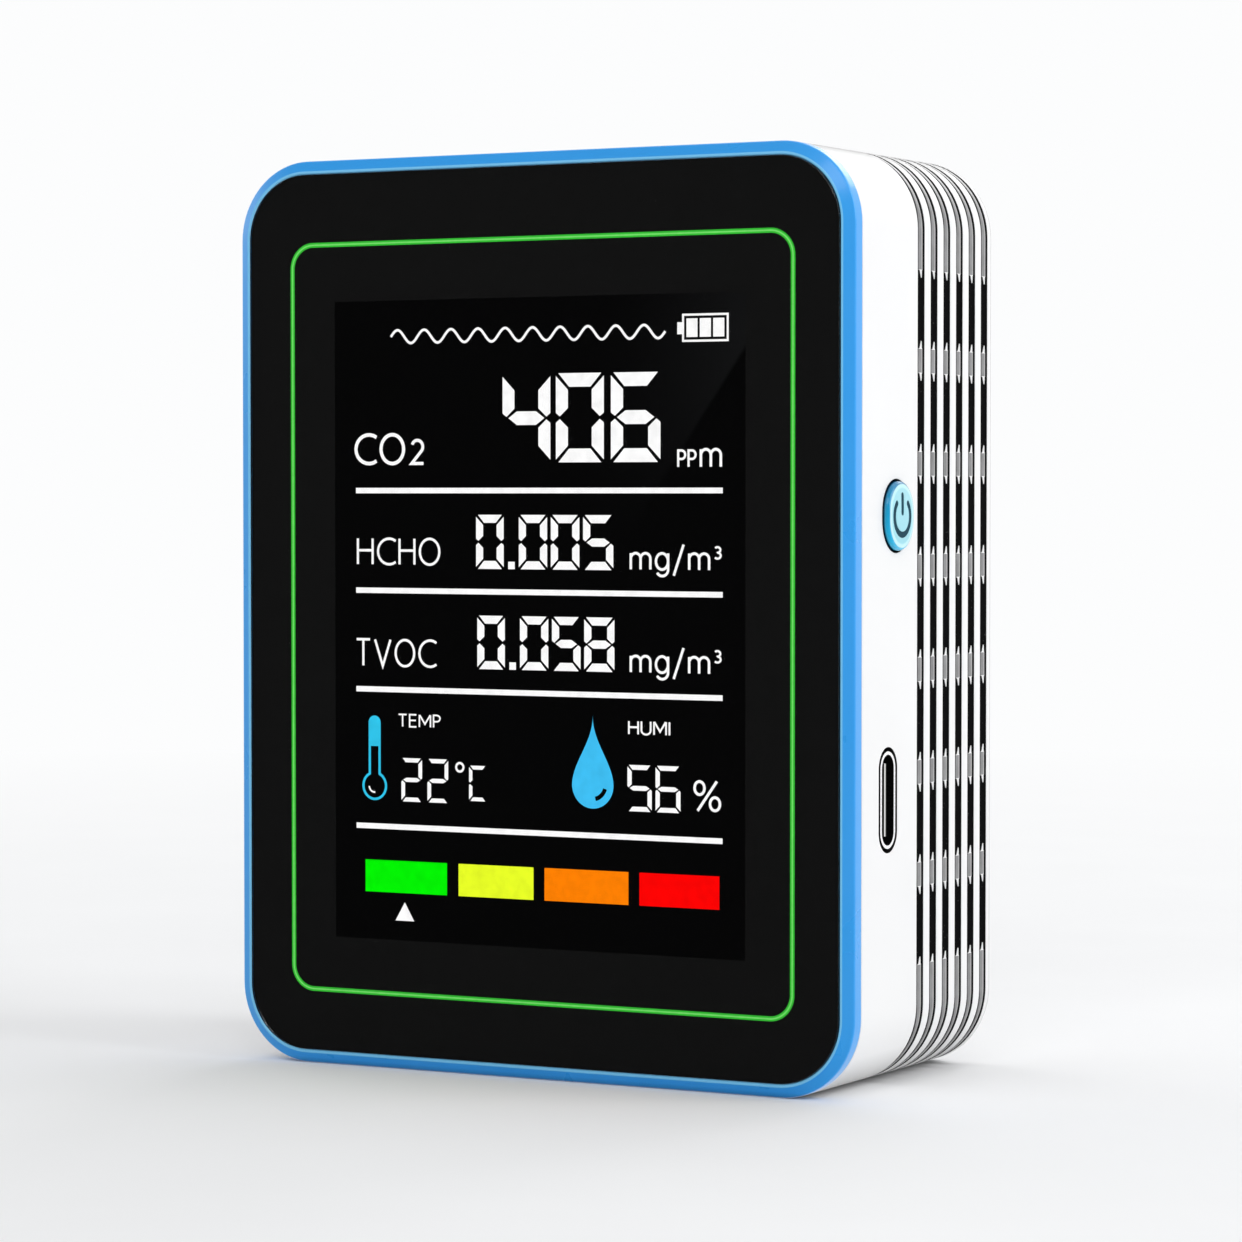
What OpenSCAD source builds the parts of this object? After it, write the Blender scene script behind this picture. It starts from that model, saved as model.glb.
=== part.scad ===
// Carbon dioxide monitor: a portable air monitor that stands on its narrow bottom face.
// Millimetres. +Z is up, the display faces -Y, +X is the side with the button and the USB-C socket.
// The origin is the centre of the resting footprint. Depths are measured from the front face.

/* [Case] */
// Width of the case
case_w = 66; // [64:0.5:70]
// Height of the case
case_h = 87; // [85:0.5:92]
// Depth of the whole monitor
case_d = 32; // [31.5:0.5:36]
// Radius of the four long corners
corner_r = 7.5; // [7:0.25:9]
// Wall thickness of the rear case
wall = 2; // [1.8:0.1:2.2]
// Radius of the edge around the back
rear_edge_r = 1.6; // [1:0.1:1.8]

/* [Front frame and lens] */
// Width of the blue rim seen from the front
rim_w = 1.3; // [1.2:0.05:1.6]
// How far the rim slopes back from the lens to the outside
rim_slope = 0.7; // [0.4:0.05:1]
// Depth at which the front frame meets the rear case
frame_joint_y = 2.1; // [1.9:0.1:2.4]
// Thickness of the lens
lens_t = 0.55; // [0.5:0.05:0.7]
// Width of the display's lit area
active_w = 44.2; // [40:0.2:45]
// Lowest point of the lit area
active_z0 = 12.4; // [12:0.1:14]
// Highest point of the lit area
active_z1 = 73.4; // [70:0.1:74]

/* [Vents] */
// Number of grooves around the case
groove_count = 6; // [1:1:6]
// Width of one groove
groove_w = 1.55; // [1.3:0.05:1.6]
// Distance from one groove to the next
groove_pitch = 2.88; // [2.8:0.02:2.9]
// Depth of the first groove's front edge behind the front face
groove_y0 = 14; // [13.5:0.1:14.1]
// Number of slots in each groove, on each side
slot_count = 7; // [3:1:7]
// Length of one slot
slot_l = 7.35; // [6:0.05:7.4]
// Distance from one slot to the next
slot_pitch = 9.54; // [9:0.02:9.6]

/* [Controls and socket] */
// Width of the power button, front to back
button_w = 5.6; // [5.2:0.1:6.2]
// Height of the power button
button_h = 6.4; // [6.2:0.1:6.8]
// Height of the power button's centre
button_z = 53; // [50:0.5:55]
// How far the button stands out of the case
button_proud = 0.65; // [0.4:0.05:1]
// Height of the USB-C socket's centre
usb_z = 27; // [25:0.5:30]

/* [Hidden] */
$fn = 72;

gap = 0.05;         // clearance between two fixed parts that fit together
touch = 0.02;       // gap between two parts that rest on each other
over = 1;           // how far a cutter runs past what it cuts
half_w = case_w / 2;

// Front frame, counted in depth behind the front face
tape_t = 0.15;
plate_y0 = lens_t + tape_t + 2 * touch;
plate_y1 = plate_y0 + 1.2;
skirt_y1 = 5.5;     // the skirt plugs into the rear case this far
skirt_t = 1.2;
opening_gap = 0.4;  // clearance around the display in the plate's opening
post_r = 2.6;       // posts that take the case screws
post_x = half_w - 5.7;
post_z = 5.8;
board_post_r = 2;

// Display stack and main board
glass_y = [lens_t + touch, lens_t + 0.95];
guide_y = [glass_y[1] + touch, glass_y[1] + 0.95];
ribbon_t = 0.15;
ribbon_w = 16;
board_y = [4.9, 6.1];
board_rear = board_y[1] + touch;
foam_y = [guide_y[1] + ribbon_t + 2 * touch, board_y[0] - touch];
display_w = active_w + 4.4;
display_z = [active_z0 - 2.8, active_z1 + 3.4];
board_w = case_w - 2 * wall - 2 * skirt_t - 0.6;
board_z = [9.2, 77.8];
board_screw_x = 27;
board_screw_z = [14, 72.6];

// Rear case
case_y = [frame_joint_y + gap, case_d];
rear_wall_y = case_d - wall;
tube_y0 = 24.6;     // the case's screw tubes start here
tube_r = 3.3;
ridge_drop = 0.12;  // the ridge in a groove lies this far under the surface
edge_cut = 0.3;     // width of the narrow channel on each side of the ridge
channel_depth = 0.8;
notch = 0.75;       // depth of the pointed notch in a slot's end
slot_mid_z = case_h / 2;
head_r = 2.1;
screw_r = 1.1;
recess_y0 = case_d - 1.9; // floor of the recess for the screw head
screw_x = post_x;
screw_z = [post_z, case_h - post_z];

// Button and switch, on one axis along X
button_y = 9.37;
button_axis = [button_y, button_z];
button_edge_r = 0.35;
button_gap = 0.13;
stem_end_x = half_w - 4.1;
stem_r = 1.5;
tab_x = half_w - 3.35;    // the button's retaining tabs start here
tab_size = [3.6, 9.2];
plunger_r = 1.7;
dome_x = stem_end_x - 3.28;
switch_back_x = stem_end_x - 4.3;
switch_front_x = stem_end_x - 1.8;
switch_size = 6.2;
switch_y = board_rear + 0.15;
switch_pocket_r = 2.35;
cover_t = 0.3;
switch_leg_x = switch_back_x + 0.4;
switch_leg_z = 2.25;

// USB-C receptacle: standard outside and inside sizes
usb_shell_h = 3.2;
usb_shell_w = 8.94;
usb_open_h = 2.56;
usb_open_w = 8.34;
usb_mouth_x = half_w - 0.03;
usb_back_x = usb_mouth_x - 7.3;
usb_y = board_rear + usb_shell_h / 2;
usb_slot_grow = 0.4;
usb_base_t = 0.8;
usb_tongue = [0.7, 6.69];
usb_tongue_recess = 0.3;

// ---- Helpers: a flat shape in (X, Z), (depth, Z) or (X, depth) given a thickness ----

module along_y(y0, y1)
    translate([0, y1 - case_d / 2, 0]) rotate([90, 0, 0]) linear_extrude(y1 - y0) children();

module along_x(x0, x1)
    translate([x0, -case_d / 2, 0]) rotate([90, 0, 90]) linear_extrude(x1 - x0) children();

module along_z(z0, z1)
    translate([0, -case_d / 2, z0]) linear_extrude(z1 - z0) children();

// Rounded rectangle between two corners
module round_rect(x0, z0, x1, z1, r) {
    translate([x0 + r, z0]) square([x1 - x0 - 2 * r, z1 - z0]);
    translate([x0, z0 + r]) square([x1 - x0, z1 - z0 - 2 * r]);
    for (x = [x0 + r, x1 - r], z = [z0 + r, z1 - r]) translate([x, z]) circle(r);
}

// The case's outline, made smaller all round by inset
module outline(inset)
    round_rect(-half_w + inset, inset, half_w - inset, case_h - inset, corner_r - inset);

// A slot with round ends, w across and l long, centred on the origin
module stadium(w, l) {
    square([w, l - w], center = true);
    for (s = [-1, 1]) translate([0, s * (l - w) / 2]) circle(w / 2);
}

// A box given by two opposite corners: X, depth and Z
module block(low, high)
    translate([low[0], low[1] - case_d / 2, low[2]]) cube(high - low);

module disc_x(x0, x1, r, centre) along_x(x0, x1) translate(centre) circle(r);

module disc_y(y0, y1, r, centre) along_y(y0, y1) translate(centre) circle(r);

// One copy at each of the four case screws
module at_case_screws() for (x = [-screw_x, screw_x], z = screw_z) translate([x, 0, z]) children();

module at_board_screws()
    for (x = [-board_screw_x, board_screw_x], z = board_screw_z) translate([x, 0, z]) children();

// ---- Front ----

module front_lens() color([0.05, 0.05, 0.05])
    along_y(0, lens_t) outline(rim_w + gap);

module lens_tape() color([0.15, 0.15, 0.16])
    along_y(lens_t + touch, lens_t + touch + tape_t) difference() {
        outline(rim_w + 0.6);
        display_sheet(-opening_gap);
    }

module front_frame() color([0.24, 0.62, 0.9]) difference() {
    union() {
        hull() {
            along_y(0, 0.05) outline(rim_w, $fn = 40);
            along_y(rim_slope, frame_joint_y) outline(0, $fn = 40);
        }
        along_y(frame_joint_y - 0.5, skirt_y1) outline(wall + gap);
        at_case_screws() disc_y(plate_y1 - 0.5, rear_wall_y - 5.5, post_r, [0, 0]);
    }
    along_y(-over, plate_y0) outline(rim_w);
    difference() {
        along_y(plate_y1, skirt_y1 + over) outline(wall + gap + skirt_t);
        at_case_screws() disc_y(plate_y1 - over, skirt_y1 + 2 * over, post_r, [0, 0]);
        at_board_screws() disc_y(plate_y1 - over, board_y[0] - touch, board_post_r, [0, 0]);
    }
    along_y(0, plate_y1 + over) display_sheet(-opening_gap);
    at_case_screws() disc_y(rear_wall_y - 14.5, rear_wall_y, screw_r + touch, [0, 0]);
    at_board_screws() disc_y(plate_y0 + 0.6, board_y[0], 0.8 + touch, [0, 0]);
}

// ---- Rear case ----

// A band cut into the case all round, from depth y0 to y1
module band(y0, y1, depth) difference() {
    along_y(y0, y1) outline(-over);
    along_y(y0 - over, y1 + over) outline(depth);
}

// A groove: a low ridge along the middle with a narrow, deeper channel on each side
module groove(y) {
    band(y, y + groove_w, ridge_drop);
    band(y, y + edge_cut, channel_depth);
    band(y + groove_w - edge_cut, y + groove_w, channel_depth);
}

function slot_points(y0, y1, l) = let (m = (y0 + y1) / 2, h = l / 2, n = notch * (y1 - y0) / groove_w)
    [[y0, -h], [m, -h + n], [y1, -h], [y1, h], [m, h - n], [y0, h]];

// Every slot on one side, as flat shapes in (depth, Z), made smaller by shrink
module slots(shrink)
    for (i = [0 : groove_count - 1], k = [0 : slot_count - 1]) {
        y = groove_y0 + i * groove_pitch;
        z = slot_mid_z + (k - (slot_count - 1) / 2) * slot_pitch;
        translate([0, z]) polygon(slot_points(y + shrink, y + groove_w - shrink, slot_l - 2 * shrink));
    }

// The outer shape: straight sides and a rounded edge around the back
module case_block() {
    steps = 6;
    along_y(case_y[0], case_d - rear_edge_r) outline(0);
    hull() for (i = [0 : steps]) {
        a = 90 * i / steps;
        y = case_d - rear_edge_r + rear_edge_r * sin(a);
        along_y(y - 0.01, y) outline(rear_edge_r * (1 - cos(a)), $fn = 40);
    }
}

module rear_case() color([0.95, 0.95, 0.95]) difference() {
    case_block();
    difference() {
        along_y(case_y[0] - over, rear_wall_y) outline(wall);
        at_case_screws() disc_y(tube_y0, case_d, tube_r, [0, 0]);
    }
    for (i = [0 : groove_count - 1]) groove(groove_y0 + i * groove_pitch);
    for (side = [-1, 1]) along_x(side * half_w - wall, side * half_w + wall) slots(0);
    along_x(half_w - 1.5 * wall, half_w + over) translate(button_axis)
        stadium(button_w + 2 * button_gap, button_h + 2 * button_gap);
    along_x(half_w - 1.5 * wall, half_w + over) translate([usb_y, usb_z])
        stadium(usb_shell_h + 2 * usb_slot_grow, usb_shell_w + 2 * usb_slot_grow);
    at_case_screws() disc_y(tube_y0 - over, rear_wall_y - 5, post_r + gap, [0, 0]);
    at_case_screws() disc_y(tube_y0 - over, case_d + over, screw_r + 0.1, [0, 0]);
    at_case_screws() disc_y(recess_y0, case_d + over, head_r + 0.15, [0, 0]);
}

// A screen behind one side's slots, with a pad that stands in each slot
module dust_screen(side) {
    inner = half_w - wall - touch;
    pad_top = half_w - ridge_drop;
    y0 = groove_y0 - 0.6;
    y1 = rear_wall_y - 0.5;
    span = slot_count * slot_pitch / 2;
    mirror([side < 0 ? 1 : 0, 0, 0]) {
        block([inner - 0.8, y0, slot_mid_z - span], [inner, y1, slot_mid_z + span]);
        along_x(inner - 0.4, pad_top) slots(gap);
    }
}

module dust_screen_right() color([0.08, 0.08, 0.08]) dust_screen(1);

module dust_screen_left() color([0.08, 0.08, 0.08]) dust_screen(-1);

module case_screws() color([0.7, 0.7, 0.72]) at_case_screws() difference() {
    union() {
        disc_y(recess_y0 + touch, recess_y0 + 1.4, head_r, [0, 0]);
        disc_y(rear_wall_y - 13, recess_y0 + 0.1, screw_r, [0, 0]);
    }
    along_y(recess_y0 + 0.6, case_d) for (a = [0, 90]) rotate(a) square([2.4, 0.5], center = true);
}

// ---- Power button and its switch ----

// A vertical bar over a ring that is open at the top, centred on the button
module power_symbol(line) {
    r = 1.68;
    translate([0, -0.05]) difference() {
        circle(r + line / 2);
        circle(r - line / 2);
        polygon([[0, 0], [2 * r, 2 * r], [-2 * r, 2 * r]]);
    }
    translate([-line / 2, 0.1]) square([line, 2]);
}

// The button's cap: an upright oval from x0 out to x1, with its outer edge rounded
module button_cap(x0, x1) {
    r = button_w / 2;
    shift = (button_h - button_w) / 2;
    edge = [for (a = [0 : 15 : 90]) [r - button_edge_r * (1 - cos(a)), x1 - button_edge_r * (1 - sin(a))]];
    side = concat([[r, x0]], edge);
    for (s = [-1, 1]) translate([0, button_y - case_d / 2, button_z + s * shift]) rotate([0, 90, 0])
        rotate_extrude() polygon(concat([[0, x0]], side, [[0, x1]]));
    along_z(button_z - shift, button_z + shift) polygon([
        for (s = [-1, 1], i = [0 : len(side) - 1])
            let (p = side[s < 0 ? i : len(side) - 1 - i]) [p[1], button_y + s * p[0]]
    ]);
}

module power_button() color([0.45, 0.8, 0.95]) {
    face_x = half_w + button_proud;
    difference() {
        button_cap(half_w - wall - 0.8, face_x);
        along_x(face_x - 0.15, face_x + over) translate(button_axis) power_symbol(0.58);
    }
    // tabs behind the wall that keep the button in and stop it turning
    block([tab_x, button_y - tab_size[0] / 2, button_z - tab_size[1] / 2],
          [half_w - wall - 0.15, button_y + tab_size[0] / 2, button_z + tab_size[1] / 2]);
    disc_x(stem_end_x, tab_x + 0.3, stem_r, button_axis);
}

module switch_plunger() color([0.15, 0.15, 0.15]) {
    disc_x(dome_x + 0.5, dome_x + 1.13, 2.2, button_axis);
    disc_x(dome_x + 1, stem_end_x - touch, plunger_r, button_axis);
}

module switch_dome() color([0.8, 0.8, 0.8]) {
    t = 0.12;
    rise = 0.35;
    translate([dome_x, button_y - case_d / 2, button_z]) rotate([0, 90, 0]) rotate_extrude()
        polygon([[0, rise], [1.2, rise - 0.05], [2.2, 0], [2.2, t], [1.2, rise - 0.05 + t], [0, rise + t]]);
}

module switch_body() color([0.1, 0.1, 0.1]) difference() {
    block([switch_back_x, switch_y, button_z - switch_size / 2],
          [switch_front_x, switch_y + switch_size, button_z + switch_size / 2]);
    disc_x(switch_back_x + 1, switch_front_x + over, switch_pocket_r, button_axis);
}

module switch_cover() color([0.75, 0.75, 0.76]) {
    x = [switch_front_x + touch, switch_front_x + touch + cover_t];
    clip_y = [switch_y + 1.8, switch_y + 4.4];
    clip_z = switch_size / 2 + touch;
    difference() {
        block([x[0], switch_y, button_z - switch_size / 2],
              [x[1], switch_y + switch_size, button_z + switch_size / 2]);
        disc_x(x[0] - over, x[1] + over, plunger_r + 0.06, button_axis);
    }
    for (s = [-1, 1]) translate([0, 0, button_z + s * (clip_z + cover_t / 2)]) {
        block([switch_back_x, clip_y[0], -cover_t / 2], [x[1], clip_y[1], cover_t / 2]);
        block([x[0], clip_y[0], -cover_t / 2 - 0.05], [x[1], clip_y[1], cover_t / 2 + 0.05]);
    }
}

module switch_legs() color([0.8, 0.8, 0.82])
    for (s = [-1, 1])
        block([switch_leg_x, board_y[0] - 0.05, button_z + s * switch_leg_z - 0.35],
              [switch_leg_x + 0.3, switch_y - touch, button_z + s * switch_leg_z + 0.35]);

// ---- USB-C receptacle ----

module usb_shell() color([0.8, 0.8, 0.82]) difference() {
    along_x(usb_back_x, usb_mouth_x) translate([usb_y, usb_z]) stadium(usb_shell_h, usb_shell_w);
    along_x(usb_back_x + 0.3, usb_mouth_x + over) translate([usb_y, usb_z]) stadium(usb_open_h, usb_open_w);
}

module usb_tongue() color([0.08, 0.08, 0.08]) {
    back = usb_back_x + 0.3 + touch;
    along_x(back, back + usb_base_t) translate([usb_y, usb_z])
        stadium(usb_open_h - 2 * touch, usb_open_w - 2 * touch);
    along_x(back + usb_base_t / 2, usb_mouth_x - usb_tongue_recess) translate([usb_y, usb_z])
        square(usb_tongue, center = true);
}

module usb_contacts() color([0.9, 0.75, 0.35])
    for (s = [-1, 1], k = [0 : 11]) {
        z = usb_z + (k - 5.5) * 0.5;
        y = usb_y + s * (usb_tongue[0] / 2 + touch + 0.03);
        block([usb_back_x + 2.4, y - 0.03, z - 0.125], [usb_mouth_x - 1.2, y + 0.03, z + 0.125]);
    }

// ---- Display ----

// The display's outline in (X, Z), made smaller all round by inset
module display_sheet(inset)
    translate([-display_w / 2 + inset, display_z[0] + inset])
        square([display_w - 2 * inset, display_z[1] - display_z[0] - 2 * inset]);

module lcd_glass() color([0.1, 0.1, 0.12])
    along_y(glass_y[0], glass_y[1]) display_sheet(0);

module lcd_light_guide() color([0.92, 0.95, 0.95])
    along_y(guide_y[0], guide_y[1]) display_sheet(0.65);

module lcd_frame() color([0.9, 0.9, 0.88])
    along_y(guide_y[0], guide_y[1]) difference() {
        display_sheet(0);
        display_sheet(0.6);
    }

// Foam that presses the display against the lens
module display_foam() color([0.15, 0.15, 0.16])
    along_y(foam_y[0], foam_y[1]) difference() {
        display_sheet(2);
        display_sheet(8);
    }

// A thin cable that lies behind the display and folds around the board's lower edge
module lcd_ribbon() color([0.75, 0.5, 0.15]) {
    x = ribbon_w / 2;
    fold_z = board_z[0] - 0.3;
    front = guide_y[1] + touch;
    rear = board_rear + 1.1;
    r = (rear - front) / 2;
    block([-x, front, fold_z], [x, front + ribbon_t, 16]);
    block([-x, rear - ribbon_t, fold_z], [x, rear, 14.6]);
    along_x(-x, x) translate([front + r, fold_z]) difference() {
        circle(r);
        circle(r - ribbon_t);
        translate([-2 * r, 0]) square([4 * r, 2 * r]);
    }
}

module ribbon_socket() color([0.85, 0.82, 0.75]) difference() {
    block([-9.5, board_rear, 11.4], [9.5, board_rear + 1.9, 15]);
    block([-8.2, board_rear + 0.85, 11], [8.2, board_rear + 1.2, 14.7]);
}

// ---- Main board ----

module main_board() color([0.1, 0.35, 0.2])
    along_y(board_y[0], board_y[1]) difference() {
        round_rect(-board_w / 2, board_z[0], board_w / 2, board_z[1], 1);
        for (x = [-board_screw_x, board_screw_x], z = board_screw_z) translate([x, z]) circle(1.1);
        for (s = [-1, 1]) translate([switch_leg_x + 0.15, button_z + s * switch_leg_z]) circle(0.6);
    }

// A flat part on the board's rear face: centre, size and height
module on_board(x, z, w, h, t)
    block([x - w / 2, board_rear, z - h / 2], [x + w / 2, board_rear + t, z + h / 2]);

module board_chips() color([0.12, 0.12, 0.13]) {
    on_board(8, 35, 10, 10, 1.4);
    on_board(18, 40, 5, 6, 1.2);
    on_board(17, 28, 4, 4, 0.9);
    on_board(-6, 24, 5, 4, 1.1);
    on_board(-22, 74, 4, 3, 1);
}

module board_passives() color([0.7, 0.6, 0.45]) {
    for (k = [0 : 5]) on_board(3 + 2.4 * k, 43, 1, 1.9, 0.6);
    for (k = [0 : 4]) on_board(3 + 2.4 * k, 27.4, 1, 1.9, 0.6);
    for (k = [0 : 3]) on_board(20.6, 21.6 + 2.2 * k, 1.9, 1, 0.6);
    for (k = [0 : 3]) on_board(-12 + 2.4 * k, 18.5, 1, 1.9, 0.6);
    for (k = [0 : 2]) on_board(8 + 3 * k, 72, 1.9, 1, 0.7);
    on_board(13.5, 22, 4, 4, 2);
}

module board_screws() color([0.7, 0.7, 0.72]) at_board_screws() difference() {
    union() {
        disc_y(board_rear, board_rear + 1.1, 1.75, [0, 0]);
        disc_y(plate_y0 + 0.8, board_rear + 0.1, 0.8, [0, 0]);
    }
    along_y(board_rear + 0.5, board_rear + 2 * over)
        for (a = [0, 90]) rotate(a) square([2, 0.4], center = true);
}

// ---- Battery ----

battery_y = [23.4, 29.3];
battery_z = [17, 67];
battery_w = 34;
lead_r = 0.55;
lead_z = 71.8;
lead_bend = 2;

module battery_cell() color([0.75, 0.77, 0.8]) {
    mid = (battery_y[0] + battery_y[1]) / 2;
    r = (battery_y[1] - battery_y[0]) / 2;
    along_z(battery_z[0], battery_z[1]) {
        translate([0, mid]) square([battery_w - 2 * r, 2 * r], center = true);
        for (s = [-1, 1]) translate([s * (battery_w / 2 - r), mid]) circle(r);
    }
    block([-12, mid - 0.4, battery_z[1] - 0.5], [12, mid + 0.4, battery_z[1] + 2]);
}

module battery_tape() color([0.9, 0.9, 0.88])
    block([-11, battery_y[1] + touch, 24], [11, rear_wall_y - touch, 60]);

// A wire from the plug, straight back and then down to the battery's top seam
module battery_lead(x) {
    mid = (battery_y[0] + battery_y[1]) / 2;
    plug_rear = board_rear + 8.5 + touch;
    bottom = battery_z[1] + 2 + touch;
    disc_y(plug_rear, mid - lead_bend, lead_r, [x, lead_z + lead_bend]);
    translate([x, mid - lead_bend - case_d / 2, lead_z]) rotate([0, -90, 0])
        rotate_extrude(angle = 90) translate([lead_bend, 0]) circle(lead_r);
    translate([x, mid - case_d / 2, bottom]) cylinder(r = lead_r, h = lead_z - bottom);
}

module battery_lead_red() color([0.8, 0.1, 0.1]) battery_lead(1);

module battery_lead_black() color([0.08, 0.08, 0.08]) battery_lead(-1);

plug_z = lead_z + lead_bend;

module battery_plug() color([0.93, 0.93, 0.9])
    block([-2.2, board_rear + 1.6, plug_z - 1.6], [2.2, board_rear + 8.5, plug_z + 1.6]);

module battery_socket() color([0.93, 0.92, 0.88]) difference() {
    on_board(0, plug_z, 6, 4.6, 6);
    block([-2.25, board_rear + 1.5, plug_z - 1.65], [2.25, board_rear + 7, plug_z + 1.65]);
}

// ---- Sensors ----

co2_x = [-28, -8.5];
co2_z = [37, 70];
co2_board_y = [8.7, 9.7];
co2_chamber_y = [co2_board_y[1] + touch, 18.2];
co2_filter_x = co2_x[0] + 8.7;
co2_filter_z = [co2_z[0] + 9, co2_z[1] - 9];

module co2_sensor_board() color([0.1, 0.3, 0.2])
    along_y(co2_board_y[0], co2_board_y[1]) difference() {
        round_rect(co2_x[0], co2_z[0], co2_x[1], co2_z[1], 0.8);
        for (k = [0 : 4]) translate([co2_x[1] - 1.5, co2_z[0] + 4 + 2.54 * k]) circle(0.42);
    }

module co2_sensor_chamber() color([0.85, 0.7, 0.35]) difference() {
    along_y(co2_chamber_y[0], co2_chamber_y[1])
        round_rect(co2_x[0] + 0.8, co2_z[0] + 1, co2_x[1] - 3, co2_z[1] - 1, 2);
    for (z = co2_filter_z)
        along_y(co2_chamber_y[1] - 0.6, co2_chamber_y[1] + over) translate([co2_filter_x, z])
            stadium(8, 10);
}

module co2_sensor_filter() color([0.95, 0.95, 0.95])
    for (z = co2_filter_z)
        along_y(co2_chamber_y[1] - 0.58, co2_chamber_y[1] - 0.1) translate([co2_filter_x, z])
            stadium(7.9, 9.9);

module co2_sensor_pins() color([0.85, 0.72, 0.35]) {
    x = co2_x[1] - 1.5;
    for (k = [0 : 4]) disc_y(board_rear, co2_board_y[1] + 1.2, 0.32, [x, co2_z[0] + 4 + 2.54 * k]);
}

// A round metal can with a mesh-covered opening in its end
module sensor_can(x, z, r, y0, y1, mouth_r) difference() {
    union() {
        disc_y(y0, y1, r, [x, z]);
        disc_y(y0, y0 + 0.5, r + 0.5, [x, z]);
    }
    disc_y(y1 - 0.5, y1 + over, mouth_r, [x, z]);
}

module hcho_sensor() color([0.8, 0.8, 0.8]) sensor_can(10, 58, 7.5, board_rear, 13.8, 5);

module voc_sensor() color([0.8, 0.78, 0.7]) sensor_can(-19, 26, 4.6, board_rear, 13.2, 3);

module climate_sensor() color([0.9, 0.9, 0.9]) difference() {
    on_board(24, 66.5, 3.2, 3.2, 1.1);
    disc_y(board_rear + 0.7, board_rear + 2, 0.7, [24, 66.5]);
}

front_lens();
lens_tape();
front_frame();
rear_case();
dust_screen_right();
dust_screen_left();
case_screws();
power_button();
switch_plunger();
switch_dome();
switch_body();
switch_cover();
switch_legs();
usb_shell();
usb_tongue();
usb_contacts();
lcd_glass();
lcd_light_guide();
lcd_frame();
display_foam();
lcd_ribbon();
ribbon_socket();
main_board();
board_chips();
board_passives();
board_screws();
battery_cell();
battery_tape();
battery_lead_red();
battery_lead_black();
battery_plug();
battery_socket();
co2_sensor_board();
co2_sensor_chamber();
co2_sensor_filter();
co2_sensor_pins();
hcho_sensor();
voc_sensor();
climate_sensor();
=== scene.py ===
"""Looks of the carbon dioxide monitor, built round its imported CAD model.

Sizes are in millimetres until place() turns them into the frame's metres. A depth is measured back
from the monitor's front face, an inset is measured inwards from its outline.
"""
import math

import bmesh
import bpy
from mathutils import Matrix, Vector


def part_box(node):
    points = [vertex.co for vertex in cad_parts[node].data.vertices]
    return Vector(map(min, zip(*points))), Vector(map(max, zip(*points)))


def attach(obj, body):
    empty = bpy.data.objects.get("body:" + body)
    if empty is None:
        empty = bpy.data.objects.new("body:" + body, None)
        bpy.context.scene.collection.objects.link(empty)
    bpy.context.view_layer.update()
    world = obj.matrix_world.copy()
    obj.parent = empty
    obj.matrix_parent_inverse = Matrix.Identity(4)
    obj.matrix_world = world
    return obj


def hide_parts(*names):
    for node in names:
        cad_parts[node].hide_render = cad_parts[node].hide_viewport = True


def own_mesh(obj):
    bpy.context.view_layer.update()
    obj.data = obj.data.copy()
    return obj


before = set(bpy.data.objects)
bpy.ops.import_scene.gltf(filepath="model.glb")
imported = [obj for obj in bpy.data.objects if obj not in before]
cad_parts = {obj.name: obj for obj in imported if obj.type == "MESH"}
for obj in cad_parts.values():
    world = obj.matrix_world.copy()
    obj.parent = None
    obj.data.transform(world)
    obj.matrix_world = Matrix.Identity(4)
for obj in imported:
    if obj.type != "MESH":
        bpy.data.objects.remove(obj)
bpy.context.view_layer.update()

# ---- Sizes read from the frame ----
MM = 0.001


def box_mm(node):
    low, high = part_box(node)
    return low / MM, high / MM


CASE_LO, CASE_HI = box_mm("rear_case")
LENS_LO, LENS_HI = box_mm("front_lens")
BUTTON_LO, BUTTON_HI = box_mm("power_button")
SHELL_LO, SHELL_HI = box_mm("usb_shell")
SCREWS_LO, SCREWS_HI = box_mm("case_screws")
FRAME_LO, FRAME_HI = box_mm("front_frame")
DISPLAY_LO, DISPLAY_HI = box_mm("lcd_glass")

FRONT = LENS_LO.y
HALF_W = CASE_HI.x
HEIGHT = CASE_HI.z
DEPTH = CASE_HI.y - FRONT
CORNER_R = 7.5
WALL = 2.0
GAP = 0.05
RIM = HALF_W - LENS_HI.x - GAP
LENS_T = LENS_HI.y - FRONT
JOINT = CASE_LO.y - FRONT - GAP
REAR_R = 1.6
ARC_STEPS = 20

# Vents
GROOVES = 6
GROOVE_W = 1.55
GROOVE_PITCH = 2.88
GROOVE_START = 14.0
CHANNEL_W = (0.3, 0.38)
CHANNEL_DEPTH = 0.8
RIDGE_DROP = 0.06
SLOTS = 7
SLOT_L = 7.35
SLOT_PITCH = 9.54
NOTCH = 0.75
RIB_EDGE = 0.05
RIDGE_EDGE = 0.06
RIDGE_LINE = 0.95
RIDGE_CORNER = 0.6
RIDGE_BEND = 24.0
TOOTH_BASE = 0.55
TOOTH_TIP = 0.1
SHOULDER = 0.1

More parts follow.
